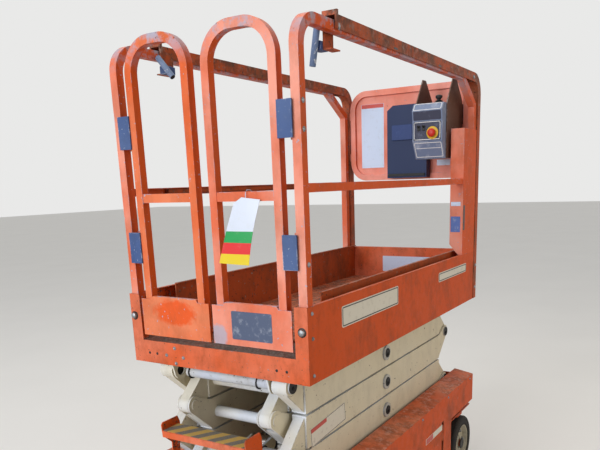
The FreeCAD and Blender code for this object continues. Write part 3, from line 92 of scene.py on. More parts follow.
def bleached_and_lit(tree, place, facing, fresh, faded_and_lit, bleach_and_light):
    """Paint in clouds from fresh to a paler colour, more of it where it faces the sky and more where it faces
    the rear. The paler colour is partly sun fading and partly painted light: it stands in for the doorway
    lamp's light and sheen on rear faces, and for highlights on the tops.
    """
    rear = node(tree, "ShaderNodeSeparateXYZ", {0: node(tree, "ShaderNodeTexCoord", output="Normal")}, "X")
    rear = node(tree, "ShaderNodeMath", {0: rear, 1: -1.0}, operation="MULTIPLY")
    sky_and_lamp_side = node(tree, "ShaderNodeMath", {0: facing, 1: rear}, operation="MAXIMUM", use_clamp=True)
    clouds = node(tree, "ShaderNodeTexNoise", {"Vector": place, "Scale": per(300), "Detail": 4.0})
    clouds = node(tree, "ShaderNodeMapRange", {0: clouds, 1: 0.36, 2: 0.62, 3: 0.25, 4: 1.0})
    # More of the paler colour towards the rear and the sky: painted light and sheen from the doorway lamp,
    # with some sun fading.
    fade_and_light = node(tree, "ShaderNodeMapRange", {0: sky_and_lamp_side, 1: 0.0, 2: 0.8, 3: 0.08, 4: bleach_and_light + 0.3})
    fade_and_light = node(tree, "ShaderNodeMath", {0: fade_and_light, 1: clouds}, operation="MULTIPLY", use_clamp=True)
    return node(tree, "ShaderNodeMix", {0: fade_and_light, 6: linear(fresh), 7: linear(faded_and_lit)}, 2, data_type="RGBA")


def spotted(tree, place, mottle, colour, middle, half, shade):
    """A touched-up or bald spot with a wavy rim. middle and half, its half sizes, are in millimetres."""
    away = node(tree, "ShaderNodeVectorMath", {0: place, 1: middle * MM}, operation="SUBTRACT")
    away = node(tree, "ShaderNodeVectorMath", {0: away, 1: half * MM}, operation="DIVIDE")
    away = node(tree, "ShaderNodeVectorMath", {0: away}, "Value", operation="LENGTH")
    wavy = node(tree, "ShaderNodeMath", {0: mottle, 1: 0.9, 2: away}, operation="MULTIPLY_ADD")
    spot = node(tree, "ShaderNodeMapRange", {0: wavy, 1: 1.55, 2: 1.25, 3: 0.0, 4: 0.85})
    return node(tree, "ShaderNodeMix", {0: spot, 6: colour, 7: linear(shade)}, 2, data_type="RGBA")


def dusted(tree, place, colour, grime, dirt):
    """Dust in patches about 140 mm across, drawn down into runs by rain."""
    runs = node(tree, "ShaderNodeMapping", {"Vector": place, "Scale": (1, 1, 0.4)})
    runs = node(tree, "ShaderNodeTexNoise",
                {"Vector": runs, "Scale": per(70), "Detail": 8.0, "Roughness": 0.7})
    dust = node(tree, "ShaderNodeTexNoise",
                {"Vector": place, "Scale": per(140), "Detail": 7.0, "Roughness": 0.7})
    dust = node(tree, "ShaderNodeMath", {0: dust, 1: runs}, operation="MULTIPLY")
    dust = node(tree, "ShaderNodeMapRange", {0: dust, 1: 0.22, 2: 0.38, 3: 0.0, 4: dirt})
    return node(tree, "ShaderNodeMix", {0: dust, 6: colour, 7: linear(grime)}, 2, data_type="RGBA")


def chipped(tree, place, chip, chip_mm, kicked):
    """Where small chips are. Boots and tools add more of them on faces that look inwards, by kicked."""
    chips = node(tree, "ShaderNodeTexNoise",
                 {"Vector": place, "Scale": per(chip_mm), "Detail": 8.0, "Roughness": 0.66})
    if kicked:
        side = node(tree, "ShaderNodeTexCoord", output="Normal")
        side = node(tree, "ShaderNodeVectorMath", {0: side, 1: place}, operation="MULTIPLY")
        side = node(tree, "ShaderNodeSeparateXYZ", {0: side}, "Y")
        inside = node(tree, "ShaderNodeMath", {0: side, 1: -0.1}, operation="LESS_THAN")
        chips = node(tree, "ShaderNodeMath", {0: inside, 1: kicked, 2: chips}, operation="MULTIPLY_ADD")
    return node(tree, "ShaderNodeMapRange", {0: chips, 1: chip, 2: chip + 0.03})


def worn_edges(tree, patchy, edge):
    """Where paint is rubbed off in a broken line, 5 mm from an edge."""
    soft = node(tree, "ShaderNodeBevel", {"Radius": 5.0 * MM}, samples=4)
    true = node(tree, "ShaderNodeNewGeometry", output="Normal")
    corner = node(tree, "ShaderNodeVectorMath", {0: soft, 1: true}, "Value", operation="DOT_PRODUCT")
    corner = node(tree, "ShaderNodeMapRange", {0: corner, 1: 0.99, 2: 0.80, 3: 0.0, 4: edge})
    broken = node(tree, "ShaderNodeMapRange", {0: patchy, 1: 0.50, 2: 0.60})
    return node(tree, "ShaderNodeMath", {0: corner, 1: broken}, operation="MULTIPLY")


def rubbed_tops(tree, place, facing, patchy, rub, knocked_mm):
    """Where hands and loads have polished top faces, and every face from knocked_mm up."""
    top = node(tree, "ShaderNodeMapRange", {0: facing, 1: 0.45, 2: 0.95, 3: 0.0, 4: rub})
    if knocked_mm:
        height = node(tree, "ShaderNodeSeparateXYZ", {0: place}, "Z")
        high = node(tree, "ShaderNodeMapRange", {0: height, 1: knocked_mm * MM, 2: (knocked_mm + 110) * MM})
        top = node(tree, "ShaderNodeMath", {0: top, 1: high}, operation="MAXIMUM")
    bald = node(tree, "ShaderNodeMapRange", {0: patchy, 1: 0.44, 2: 0.56})
    return node(tree, "ShaderNodeMath", {0: top, 1: bald}, operation="MULTIPLY")


def enamel(name, fresh, faded_and_lit, bare, grime, chip=0.66, chip_mm=14, edge=1.0, dirt=0.35, bleach_and_light=0.6, rub=0.0,
           rust=0.3, kicked=0.0, knocked_mm=None, spots=()):
    """Sprayed enamel on steel, matt from years outdoors: paler towards the sky and the rear, partly sun fading
    and partly painted light from the doorway lamp, dusty in patches, speckled with small chips and bare along
    its edges. chip is the noise level above which it is chipped, so less is more chips, and rust is how much
    of the bare metal has browned. spots are (middle, half sizes, colour)."""
    material, tree, place = new_material(name)
    facing = node(tree, "ShaderNodeSeparateXYZ", {0: node(tree, "ShaderNodeTexCoord", output="Normal")}, "Z")
    mottle = node(tree, "ShaderNodeTexNoise",
                  {"Vector": place, "Scale": per(26), "Detail": 7.0, "Roughness": 0.62})
    patchy = node(tree, "ShaderNodeTexNoise",
                  {"Vector": place, "Scale": per(60), "Detail": 8.0, "Roughness": 0.7})
    colour = bleached_and_lit(tree, place, facing, fresh, faded_and_lit, bleach_and_light)
    for middle, half, shade in spots:
        colour = spotted(tree, place, mottle, colour, middle, half, shade)
    colour = dusted(tree, place, colour, grime, dirt)
    chips = chipped(tree, place, chip, chip_mm, kicked)
    worn = node(tree, "ShaderNodeMath", {0: worn_edges(tree, patchy, edge), 1: chips}, operation="MAXIMUM")
    if rub:
        rubbed = rubbed_tops(tree, place, facing, patchy, rub, knocked_mm)
        worn = node(tree, "ShaderNodeMath", {0: worn, 1: rubbed}, operation="MAXIMUM")
    browned = node(tree, "ShaderNodeMapRange", {0: mottle, 1: 0.62 - 0.3 * rust, 2: 0.72 - 0.3 * rust})
    metal = node(tree, "ShaderNodeMix",
                 {0: browned, 6: linear(bare), 7: linear(OLD_RUST)}, 2, data_type="RGBA")
    colour = node(tree, "ShaderNodeMix", {0: worn, 6: colour, 7: metal}, 2, data_type="RGBA")
    gloss = node(tree, "ShaderNodeMapRange", {0: mottle, 1: 0.2, 2: 0.8, 3: 0.42, 4: 0.62})
    relief = node(tree, "ShaderNodeMath", {0: mottle, 1: worn}, operation="SUBTRACT")
    relief = node(tree, "ShaderNodeBump", {"Height": relief, "Distance": 0.25 * MM, "Strength": 0.8})
    shader = node(tree, "ShaderNodeBsdfPrincipled",
                  {"Base Color": colour, "Roughness": gloss, "Normal": relief, "Specular IOR Level": 0.15})
    node(tree, "ShaderNodeOutputMaterial", {"Surface": shader})
    return material


def tread_steel(name, paint, rust, bright):
    """Rolled tread plate, once painted. Boots leave it rust brown in patches, with gritty specks of bright
    metal. The grit is drawn at 9 mm, coarser than it is, so that it shows."""
    material, tree, place = new_material(name)
    rusty = node(tree, "ShaderNodeTexNoise",
                 {"Vector": place, "Scale": per(120), "Detail": 9.0, "Roughness": 0.72})
    rusty = node(tree, "ShaderNodeMapRange", {0: rusty, 1: 0.36, 2: 0.56})
    grit = node(tree, "ShaderNodeTexNoise",
                {"Vector": place, "Scale": per(9), "Detail": 6.0, "Roughness": 0.7})
    colour = node(tree, "ShaderNodeMix", {0: rusty, 6: linear(paint), 7: linear(rust)}, 2, data_type="RGBA")
    speck = node(tree, "ShaderNodeMapRange", {0: grit, 1: 0.52, 2: 0.66, 3: 0.0, 4: 0.75})
    colour = node(tree, "ShaderNodeMix", {0: speck, 6: colour, 7: linear(bright)}, 2, data_type="RGBA")
    rough = node(tree, "ShaderNodeMapRange", {0: grit, 1: 0.3, 2: 0.7, 3: 0.9, 4: 0.55})
    relief = node(tree, "ShaderNodeBump", {"Height": grit, "Distance": 0.4 * MM, "Strength": 1.0})
    shader = node(tree, "ShaderNodeBsdfPrincipled",
                  {"Base Color": colour, "Roughness": rough, "Normal": relief})
    node(tree, "ShaderNodeOutputMaterial", {"Surface": shader})
    return material


def steel(name, tone, film, rough, grain=(1, 1, 60)):
    """Bare turned or plated steel: glossy, with fine tool marks and a dull film of oil in patches."""
    material, tree, place = new_material(name)
    marks = node(tree, "ShaderNodeMapping", {"Vector": place, "Scale": grain})
    marks = node(tree, "ShaderNodeTexNoise", {"Vector": marks, "Scale": per(30), "Detail": 6.0})
    oily = node(tree, "ShaderNodeTexNoise", {"Vector": place, "Scale": per(24), "Detail": 5.0})
    oily = node(tree, "ShaderNodeMapRange", {0: oily, 1: 0.45, 2: 0.7})
    colour = node(tree, "ShaderNodeMix", {0: oily, 6: linear(tone), 7: linear(film)}, 2, data_type="RGBA")
    gloss = node(tree, "ShaderNodeMapRange", {0: marks, 1: 0.2, 2: 0.8, 3: rough, 4: rough + 0.2})
    relief = node(tree, "ShaderNodeBump", {"Height": marks, "Distance": 0.05 * MM, "Strength": 1.0})
    shader = node(tree, "ShaderNodeBsdfPrincipled",
                  {"Base Color": colour, "Metallic": 1.0, "Roughness": gloss, "Normal": relief})
    node(tree, "ShaderNodeOutputMaterial", {"Surface": shader})
    return material


def plastic(name, tone, worn, rough=0.5, grain_mm=1.6, scuffed=0.54):
    """Moulded ABS, polyethylene or rubber: dull, with a moulded grain, and paler where it is scuffed. The
    grain is drawn a few times coarser than it is, so that it shows."""
    material, tree, place = new_material(name)
    scuff = node(tree, "ShaderNodeTexNoise",
                 {"Vector": place, "Scale": per(70), "Detail": 8.0, "Roughness": 0.72})
    scuff = node(tree, "ShaderNodeMapRange", {0: scuff, 1: scuffed, 2: scuffed + 0.16})
    colour = node(tree, "ShaderNodeMix", {0: scuff, 6: linear(tone), 7: linear(worn)}, 2, data_type="RGBA")
    gloss = node(tree, "ShaderNodeMapRange", {0: scuff, 3: rough, 4: rough + 0.18})
    grain = node(tree, "ShaderNodeTexNoise", {"Vector": place, "Scale": per(grain_mm), "Detail": 3.0})
    relief = node(tree, "ShaderNodeBump", {"Height": grain, "Distance": 0.12 * MM, "Strength": 1.0})
    shader = node(tree, "ShaderNodeBsdfPrincipled",
                  {"Base Color": colour, "Roughness": gloss, "Normal": relief, "Specular IOR Level": 0.3})
    node(tree, "ShaderNodeOutputMaterial", {"Surface": shader})
    return material


def film(name, tone, aged, bands=(), along=Z, scuffed=0.8):
    """Printed vinyl film, left blank. It yellows and scuffs, and lifts a little. bands are steps along one
    direction, each a place in millimetres and the colour from there on."""
    material, tree, place = new_material(name)
    colour = linear(tone)
    level = node(tree, "ShaderNodeVectorMath", {0: place, 1: along}, "Value", operation="DOT_PRODUCT")
    for edge_mm, shade in bands:
        beyond = node(tree, "ShaderNodeMath", {0: level, 1: edge_mm * MM}, operation="GREATER_THAN")
        colour = node(tree, "ShaderNodeMix", {0: beyond, 6: colour, 7: linear(shade)}, 2, data_type="RGBA")
    scuff = node(tree, "ShaderNodeTexNoise",
                 {"Vector": place, "Scale": per(24), "Detail": 8.0, "Roughness": 0.7})
    scuff = node(tree, "ShaderNodeMapRange", {0: scuff, 1: 0.54, 2: 0.70, 3: 0.0, 4: scuffed})
    colour = node(tree, "ShaderNodeMix", {0: scuff, 6: colour, 7: linear(aged)}, 2, data_type="RGBA")
    waves = node(tree, "ShaderNodeTexNoise", {"Vector": place, "Scale": per(14), "Detail": 3.0})
    relief = node(tree, "ShaderNodeBump", {"Height": waves, "Distance": 0.05 * MM, "Strength": 1.0})
    shader = node(tree, "ShaderNodeBsdfPrincipled",
                  {"Base Color": colour, "Roughness": 0.36, "Normal": relief})
    node(tree, "ShaderNodeOutputMaterial", {"Surface": shader})
    return material


def striped_grip(name):
    """Anti-slip tape with a gritty face, in slanting yellow and dark grey bars, both dull from boots."""
    material, tree, place = new_material(name)
    bar_mm = 37
    slant = node(tree, "ShaderNodeVectorMath",
                 {0: place, 1: (0.6, 1.0, 0.0)}, "Value", operation="DOT_PRODUCT")
    bars = node(tree, "ShaderNodeMath", {0: slant, 1: bar_mm * MM}, operation="PINGPONG")
    bars = node(tree, "ShaderNodeMath", {0: bars, 1: bar_mm / 2 * MM}, operation="GREATER_THAN")
    colour = node(tree, "ShaderNodeMix",
                  {0: bars, 6: linear("5F5E58"), 7: linear("C9A23B")}, 2, data_type="RGBA")
    grit = node(tree, "ShaderNodeTexNoise",
                {"Vector": place, "Scale": per(5), "Detail": 6.0, "Roughness": 0.75})
    dusty = node(tree, "ShaderNodeMapRange", {0: grit, 1: 0.42, 2: 0.72, 3: 0.1, 4: 0.8})
    colour = node(tree, "ShaderNodeMix", {0: dusty, 6: colour, 7: linear("8C8272")}, 2, data_type="RGBA")
    relief = node(tree, "ShaderNodeBump", {"Height": grit, "Distance": 0.5 * MM, "Strength": 1.0})
    shader = node(tree, "ShaderNodeBsdfPrincipled",
                  {"Base Color": colour, "Roughness": 0.9, "Normal": relief})
    node(tree, "ShaderNodeOutputMaterial", {"Surface": shader})
    return material


# Each enamel's second colour is the paler one it takes where it faces the sky and the rear: partly sun fading,
# partly painted light and sheen from the doorway lamp.
# Orange enamel on folded and welded sheet: matt and warm, freckled with browned chips where boots reach.
ORANGE = enamel("orange_enamel_on_sheet_steel", "CE4E0D", "D9795A", "A39A98", "74381A", chip=0.63, chip_mm=10,
                dirt=0.5, kicked=0.09, rust=0.85)
# The same coat on the front panel, drawn in a lighter orange that turns pink where it faces the rear and the
# sky: painted light from the doorway lamp, which the panel faces, with some sun fading. It is clean.
ORANGE_PANEL = enamel("orange_enamel_on_the_panel_sunned_and_painted_lighter", "E0663C", "F09C8A", "B4ACB6", "A2583A",
                      chip=0.66, bleach_and_light=0.9, dirt=0.25)
# On the low covers, that people step on: scuffed through to pale metal, and muddy.
ORANGE_COVER = enamel("orange_enamel_on_scuffed_covers", "CE4E0D", "D9825F", "B9A79C", "74381A", chip=0.645,
                      chip_mm=12, rub=0.35, dirt=0.6, rust=0.7)
# On the rails' square tube: brighter, polished to lilac-grey steel where hands hold it and at the top.
TUBE_COAT = dict(fresh="D6520E", bare="A9A6B4", grime="83492A", chip=0.64, dirt=0.3, rub=0.85, rust=0.1,
                 knocked_mm=1960)
# Its pink paler colour, where it faces the rear and the sky, is painted sheen from the doorway lamp as well as
# sun fading.
ORANGE_TUBE = enamel("orange_enamel_on_hand_worn_tube", faded_and_lit="E99A84", bleach_and_light=0.75, **TUBE_COAT)
# On the left gate, with a fresh orange spot sprayed over the middle of its kick plate.
# Its paler colour is less pink than the rails' and the right gate's: the left gate is drawn with less of the
# doorway lamp's painted sheen.
ORANGE_TOUCHED = enamel("orange_enamel_with_touched_up_spot", faded_and_lit="E07E56", bleach_and_light=0.7,
                        spots=[(Vector((-824, 172, 1141)), Vector((90, 100, 46)), "E0500E")], **TUBE_COAT)
# On the right gate, whose kick plate has lost its paint at the inner lower corner.
# Its paler colour is the rails' pink: painted sheen from the doorway lamp, as well as sun fading.
ORANGE_BALD = enamel("orange_enamel_with_bald_corner", faded_and_lit="E99A84", bleach_and_light=0.75,
                     spots=[(Vector((-824, -30, 1075)), Vector((60, 34, 42)), "A9A4B0")], **TUBE_COAT)
# On the channels that slide along the rails: dull brown-grey steel with orange left in patches.
ORANGE_CHANNEL = enamel("orange_enamel_rubbed_brown_on_channels", "B24A18", "C4765A", "857A70", "66452E",
                        chip=0.58, dirt=0.85, rub=0.9, rust=0.8, knocked_mm=1990)
# On the roll-out deck: walked off, rust and dirt show in blots.
ORANGE_DECK = enamel("orange_enamel_walked_off_the_rollout_deck", "B04E22", "C47352", "9A8A7C", "63402C",
                     chip=0.6, dirt=0.7, rub=0.6, rust=0.8)
# On the frame low down: darker and dirtier, with little of the paler colour towards the sky and the rear.
ORANGE_DEEP = enamel("orange_enamel_on_frame", "C04814", "CF6D4A", "6E665F", "63402C", dirt=0.6, bleach_and_light=0.3)
# Cream enamel on the welded arms: chalky, with brown chips. Where it faces the sky and the rear it turns a
# pale blue-white, which is painted cool light from the doorway lamp, with a little sun fading.
CREAM = enamel("cream_enamel_on_arms", "DACFB3", "D2D7DE", "6F6C66", "8F8570", chip=0.645, chip_mm=16,
               dirt=0.2, edge=0.9, bleach_and_light=0.9, rust=0.8)
# On the pressed wheels: greyer from the road.
CREAM_WHEEL = enamel("cream_enamel_on_wheels", "BFB69E", "C6C0AE", "716C62", "6F6754", dirt=0.8)
# On the turned shafts between the arms: grey and cool.
# Where the shafts face the sky and the rear they turn pale blue-grey, which is painted cool light from the
# doorway lamp, with a little sun fading.
CREAM_PIN = enamel("cream_enamel_on_shafts", "BFBCB4", "B9BFCC", "6F6C66", "7F7868", chip=0.62, bleach_and_light=0.9)
# Slate blue enamel on the hinges' bent plates: dark, with pale specks.
SLATE = enamel("slate_blue_enamel_on_hinges", "3A5080", "56698F", "C9CFD6", "3A4354", chip=0.64, chip_mm=8,
               bleach_and_light=0.4, rust=0.0)
# On the latch handles: washed-out, with large pale chips.
SLATE_WORN = enamel("slate_blue_enamel_on_handles", "5F7497", "8496B2", "C2C8D0", "4A5468", chip=0.6,
                    chip_mm=22, rust=0.0)
# Brown enamel on the bent sheet beside the controls: flat and dark, bright at its edges.
BROWN = enamel("brown_enamel_on_control_guards", "5E4439", "7A5E50", "A9A6A6", "4A3A33", edge=1.0)
# Tread plate: the roll-out deck's is orange-brown. The main deck's, under it, is drawn darker in paint, rust
# and grit: painted shade.
TREAD = tread_steel("rusty_tread_plate", "8E4A33", "5E4638", "A0968C")
TREAD_MAIN_SHADED = tread_steel("rusty_tread_plate_in_painted_shade_under_the_rollout", "7C4A38", "55463D", "8A8078")
# Bright steels: dull zinc on bolts, mirror chrome on the cylinder's rod, black oiled steel on rings and caps.
ZINC = steel("zinc_plated_steel", "8F9194", "6B6964", 0.36)
CHROME = steel("hard_chrome", "D8D8DA", "BDBAB4", 0.12)
DARK_STEEL = steel("oiled_black_steel", "3A3836", "24211F", 0.42)
# Solid rubber: black gone grey-brown with floor dust, no shine.
TYRE = plastic("grey_black_solid_rubber", "1C1B1A", "38332E", 0.75, 2.5, 0.46)
# Plastics: grained and dull. The paper box is blue-black with a washed-out pocket, the control box blue-grey.
BLACK = plastic("black_abs", "1A1A1B", "3A3835")
DARK_BLUE = plastic("blue_black_polyethylene", "12264E", "22365E", 0.5, 2.0, 0.6)
PALE_BLUE = plastic("washed_out_blue_polyethylene", "263C70", "3C5080", 0.5, 2.0)
GREY_CASE = plastic("blue_grey_abs", "74819C", "A3ABBC", 0.5, 1.6, 0.5)
GREY_DARK = plastic("dark_grey_abs", "35374A", "6C7082")
RED = plastic("red_abs", "C32A1E", "8C3026", 0.35, 3.0)
YELLOW = plastic("yellow_abs", "D9AE2A", "A98C3C", 0.4, 3.0)
# Printed films, all blank: smooth with a soft shine, scuffed dull in patches.
# The white vinyl is drawn pale blue: painted cool light from the doorway lamp on notices that face the rear.
WHITE_FILM = film("white_vinyl_drawn_blue_as_painted_cool_light", "C6D4EA", "AFB6C2", scuffed=0.4)
WHITE_LINE = film("white_print", "E9E8E4", "B9B2A8")
SLATE_FILM = film("slate_vinyl", "44506A", "8F94A0")
BLUE_FILM = film("blue_vinyl", "3E5FA8", "8894B0")
BLACK_FILM = film("black_vinyl", "2A2624", "6E6A66")
BUFF_FILM = film("buff_vinyl", "DAD3C2", "A79C88", scuffed=0.5)
RED_FILM = film("red_vinyl", "C23A2A", "8F4A3C")
# The hanging card, laminated: yellow, red, green and white bands from its foot up.
TAG_CARD = film("banded_tag_card", "E0C51C", "B9B39A", ((1359, "D8282A"), (1396, "14964A"), (1433, "D0D6E2")),
                scuffed=0.15)
GRIP = striped_grip("striped_anti_slip_tape")


def dress(names, material):
    """Gives CAD nodes their finish."""
    for name in names:
        slots = NODES[name].data.materials
        slots.clear()
        slots.append(material)


def dress_all():
    """The finish of each CAD node. The wheels' tyres and discs are dressed one by one."""
    dress(["chassis_tub", "chassis_channels", "rear_axles"], ORANGE_DEEP)
    for side in SIDES:
        dress([f"chassis_side_{side}", f"steer_yoke_{side}", f"pothole_guard_{side}"], ORANGE_DEEP)
        dress([f"side_cover_{side}", f"tray_{side}"], ORANGE_COVER)
        for end in ("front", "rear"):
            dress([f"{end}_tyre_{side}"], TYRE)
            dress([f"{end}_wheel_{side}"], CREAM_WHEEL)
    dress(["entry_ladder", "platform_sides", "extension_toe_board"], ORANGE)
    dress(["extension_deck"], ORANGE_DECK)
    dress(["front_panel"], ORANGE_PANEL)
    dress(["main_rails_left", "main_rails_right"], ORANGE_TUBE)
    dress(["gate_left"], ORANGE_TOUCHED)
    dress(["gate_right"], ORANGE_BALD)
    dress(["extension_rail_left", "extension_rail_right"], ORANGE_CHANNEL)
    dress(["platform_deck"], TREAD_MAIN_SHADED)
    dress([f"{kind}_arms_{level}" for kind in ("outer", "inner") for level in LEVELS], CREAM)
    dress(["platform_beams", "platform_channels"], CREAM)
    dress([f"pivot_pins_{level}" for level in LEVELS], CREAM_PIN)
    dress(["gate_hinges_left", "gate_hinges_right", "slide_locks"], SLATE)
    dress(["lift_barrel", "battery_pack", "hydraulic_pack"], BLACK)
    dress(["lift_rod"], CHROME)
    dress(["document_box"], DARK_BLUE)
    dress(["control_box"], GREY_CASE)
    dress(["control_guards"], BROWN)


def corners(name):
    """A CAD node's lowest and highest corners, in millimetres."""
    low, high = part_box(name)
    return low / MM, high / MM


def piece(name, mesh, material, body):
    """A finished mesh, drawn in millimetres, becomes a piece that rides on a body."""
    bmesh.ops.recalc_face_normals(mesh, faces=mesh.faces)
    bmesh.ops.scale(mesh, vec=(MM, MM, MM), verts=mesh.verts)
    data = bpy.data.meshes.new(name)
    mesh.to_mesh(data)
    mesh.free()
    data.materials.append(material)
    data.shade_smooth()
    data.set_sharp_from_angle(angle=math.radians(35))
    holder = bpy.data.objects.new(name, data)
    bpy.context.scene.collection.objects.link(holder)
    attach(holder, body)
    return holder


def skin_rings(mesh, rings, closed=False):
    """Joins rings of points into one skin, with a cap at each end or closed on itself."""
    loops = [[mesh.verts.new(point) for point in ring] for ring in rings]
    for lower, upper in zip(loops, loops[1:] + ([loops[0]] if closed else [])):
        for i, corner in enumerate(lower):
            j = (i + 1) % len(lower)
            mesh.faces.new((corner, lower[j], upper[j], upper[i]))
    if not closed:
        mesh.faces.new(loops[0][::-1])
        mesh.faces.new(loops[-1])


def turned(mesh, middle, axis, profile, sides=24, closed=False):
    """A turned shape. Its profile is (radius, height) pairs along the axis; closed makes it a ring."""
    turn = Vector(axis).to_track_quat("Z", "Y").to_matrix()
    angles = [2 * math.pi * i / sides for i in range(sides)]
    circle = [Vector((math.cos(a), math.sin(a), 0)) for a in angles]
    rings = [[Vector(middle) + turn @ (point * radius + Z * height) for point in circle]
             for radius, height in profile]
    skin_rings(mesh, rings, closed)


def rounded(middle, across, up, size, radius, inset, height):
    """A ring of points: a rectangle with rounded corners, drawn in by inset and raised by height."""
    reach = max(radius - inset, 0.5)
    ring = []
    for side, end, start in QUARTERS:
        for i in range(6):
            angle = math.radians(start + 18 * i)
            ring.append(Vector(middle) + across.cross(up) * height
                        + across * (side * (size[0] / 2 - inset - reach) + math.cos(angle) * reach)
                        + up * (end * (size[1] / 2 - inset - reach) + math.sin(angle) * reach))
    return ring


def sheet(mesh, middle, across, up, size, thick, radius=5):
    """A sheet with rounded corners and a fine chamfer. It rises from middle, away from the seat."""
    chamfer = min(thick * 0.3, 1.5)
    levels = ((0, 0), (0, thick * 0.7), (chamfer, thick))
    skin_rings(mesh, [rounded(middle, across, up, size, radius, inset, height) for inset, height in levels])


def framed(mesh, middle, across, up, size, line, thick, radius=5):
    """A raised line that runs round a rounded rectangle."""
    levels = ((0, 0), (0, thick), (line, thick), (line, 0))
    rings = [rounded(middle, across, up, size, radius, inset, height) for inset, height in levels]
    skin_rings(mesh, rings, closed=True)


def sweep(mesh, points, radius, sides=12):
    """A round bar or hose through points."""
    rings = []
    for i, point in enumerate(points):
        run = (Vector(points[min(i + 1, len(points) - 1)]) - Vector(points[max(i - 1, 0)])).normalized()
        first = run.cross(Z if abs(run.z) < 0.9 else X).normalized()
        second = run.cross(first)
        rings.append([Vector(point) + first * radius * math.cos(2 * math.pi * k / sides)
                      + second * radius * math.sin(2 * math.pi * k / sides) for k in range(sides)])
    skin_rings(mesh, rings)


def bolts(name, spots, axis, radius, body, material=None):
    """Domed bolt heads on washers, all alike and facing one way."""
    mesh = bmesh.new()
    for spot in spots:
        turned(mesh, spot, axis, ((radius * 1.5, 0), (radius * 1.5, 1.2), (radius * 1.35, 1.8), (radius, 1.9),
                                  (radius * 0.97, 3.4), (radius * 0.75, 4.8), (radius * 0.3, 5.4)))
    piece(name, mesh, material or ZINC, body)


def hex_nuts(mesh, spots, axis, radius, tall):
    """Hexagon nuts on washers, each with the end of its stud."""
    for spot in spots:
        turned(mesh, spot, axis, ((radius * 1.35, 0), (radius * 1.35, 1.5), (radius * 1.3, 1.9)))
        turned(mesh, spot, axis, ((radius, 1.9), (radius, tall - 1.5), (radius * 0.86, tall)), 6)
        stud = radius * 0.5
        turned(mesh, spot, axis, ((stud, tall - 1), (stud, tall + 4), (radius * 0.38, tall + 5)), 16)


def plates(name, rows, across, up, material, body, thick=0.8, radius=4):
    """Blank film or sheet plates: rows of (middle, size)."""
    mesh = bmesh.new()
    for middle, size in rows:
        sheet(mesh, middle, across, up, size, thick, radius)
    piece(name, mesh, material, body)


def lens_tread(name, low, high, z, material, body, slot, pitch=34):
    """Raised lenses of rolled tread plate, each 26 mm long, turned a quarter from its neighbours."""
    half_long, half_wide, crest_long, crest_wide, tall = 13, 3.6, 8, 1.6, 1.6
    rim = [(1, 0), (0.55, 0.75), (0, 1), (-0.55, 0.75), (-1, 0), (-0.55, -0.75), (0, -1), (0.55, -0.75)]
    mesh = bmesh.new()
    columns = int((high[0] - low[0]) // pitch)
    rows = int((high[1] - low[1]) // pitch)
    start_x = (low[0] + high[0] - (columns - 1) * pitch) / 2
    start_y = (low[1] + high[1] - (rows - 1) * pitch) / 2
    start = Vector((start_x, start_y, z))
    for i in range(columns):
        for j in range(rows):
            spot = start + Vector((i * pitch, j * pitch, 0))
            along = (X + Y if (i + j) % 2 else X - Y).normalized()
            side = along.cross(Z)
            foot = [spot + along * half_long * a + side * half_wide * b for a, b in rim]
            crest = [spot + along * crest_long * a + side * crest_wide * b + Z * tall for a, b in rim]
            skin_rings(mesh, [foot, crest])
    piece(name, mesh, material, body)


def camera():
    """The photograph's viewpoint: place, turn, tilt and roll, with the frame's centre shifted."""
    place, lens_mm, shift = (-2.4807, -1.4256, 1.5752), 38.116, (-0.0342, 0.1917)
    yaw, down, roll = (math.radians(a) for a in (30.883, 13.849, -1.847))
    ahead = Vector((math.cos(down) * math.cos(yaw), math.cos(down) * math.sin(yaw), -math.sin(down)))
    right = Vector((math.sin(yaw), -math.cos(yaw), 0))
    up = right.cross(ahead)
    across = right * math.cos(roll) + up * math.sin(roll)
    upward = up * math.cos(roll) - right * math.sin(roll)
    turn = Matrix((across, upward, -ahead)).transposed().to_4x4()
    view = bpy.data.cameras.new("photo_view")
    view.sensor_fit = "HORIZONTAL"
    view.sensor_width = 36
    view.lens = lens_mm
    view.shift_x, view.shift_y = shift
    view.clip_end = 60
    holder = bpy.data.objects.new("photo_view", view)
    holder.matrix_world = Matrix.Translation(place) @ turn
    bpy.context.scene.collection.objects.link(holder)
    bpy.context.scene.camera = holder


def lamp(name, spot, size, power, tint):
    """A soft square lamp, aimed at the middle of the machine."""
    light = bpy.data.lights.new(name, "AREA")
    light.energy = power
    light.size = size
    light.color = linear(tint)[:3]
    holder = bpy.data.objects.new(name, light)
    holder.location = spot
    holder.rotation_euler = (Vector((0, 0, 1.1)) - Vector(spot)).to_track_quat("-Z", "Y").to_euler()
    bpy.context.scene.collection.objects.link(holder)


def seen_by_eye(tree):
    """One for what the camera sees straight, in gloss or through glass, and nought for other light."""
    seen = node(tree, "ShaderNodeLightPath", output="Is Camera Ray")
    for kind in ("Is Glossy Ray", "Is Transmission Ray"):
        more = node(tree, "ShaderNodeLightPath", output=kind)
        seen = node(tree, "ShaderNodeMath", {0: seen, 1: more}, operation="MAXIMUM")
    return seen


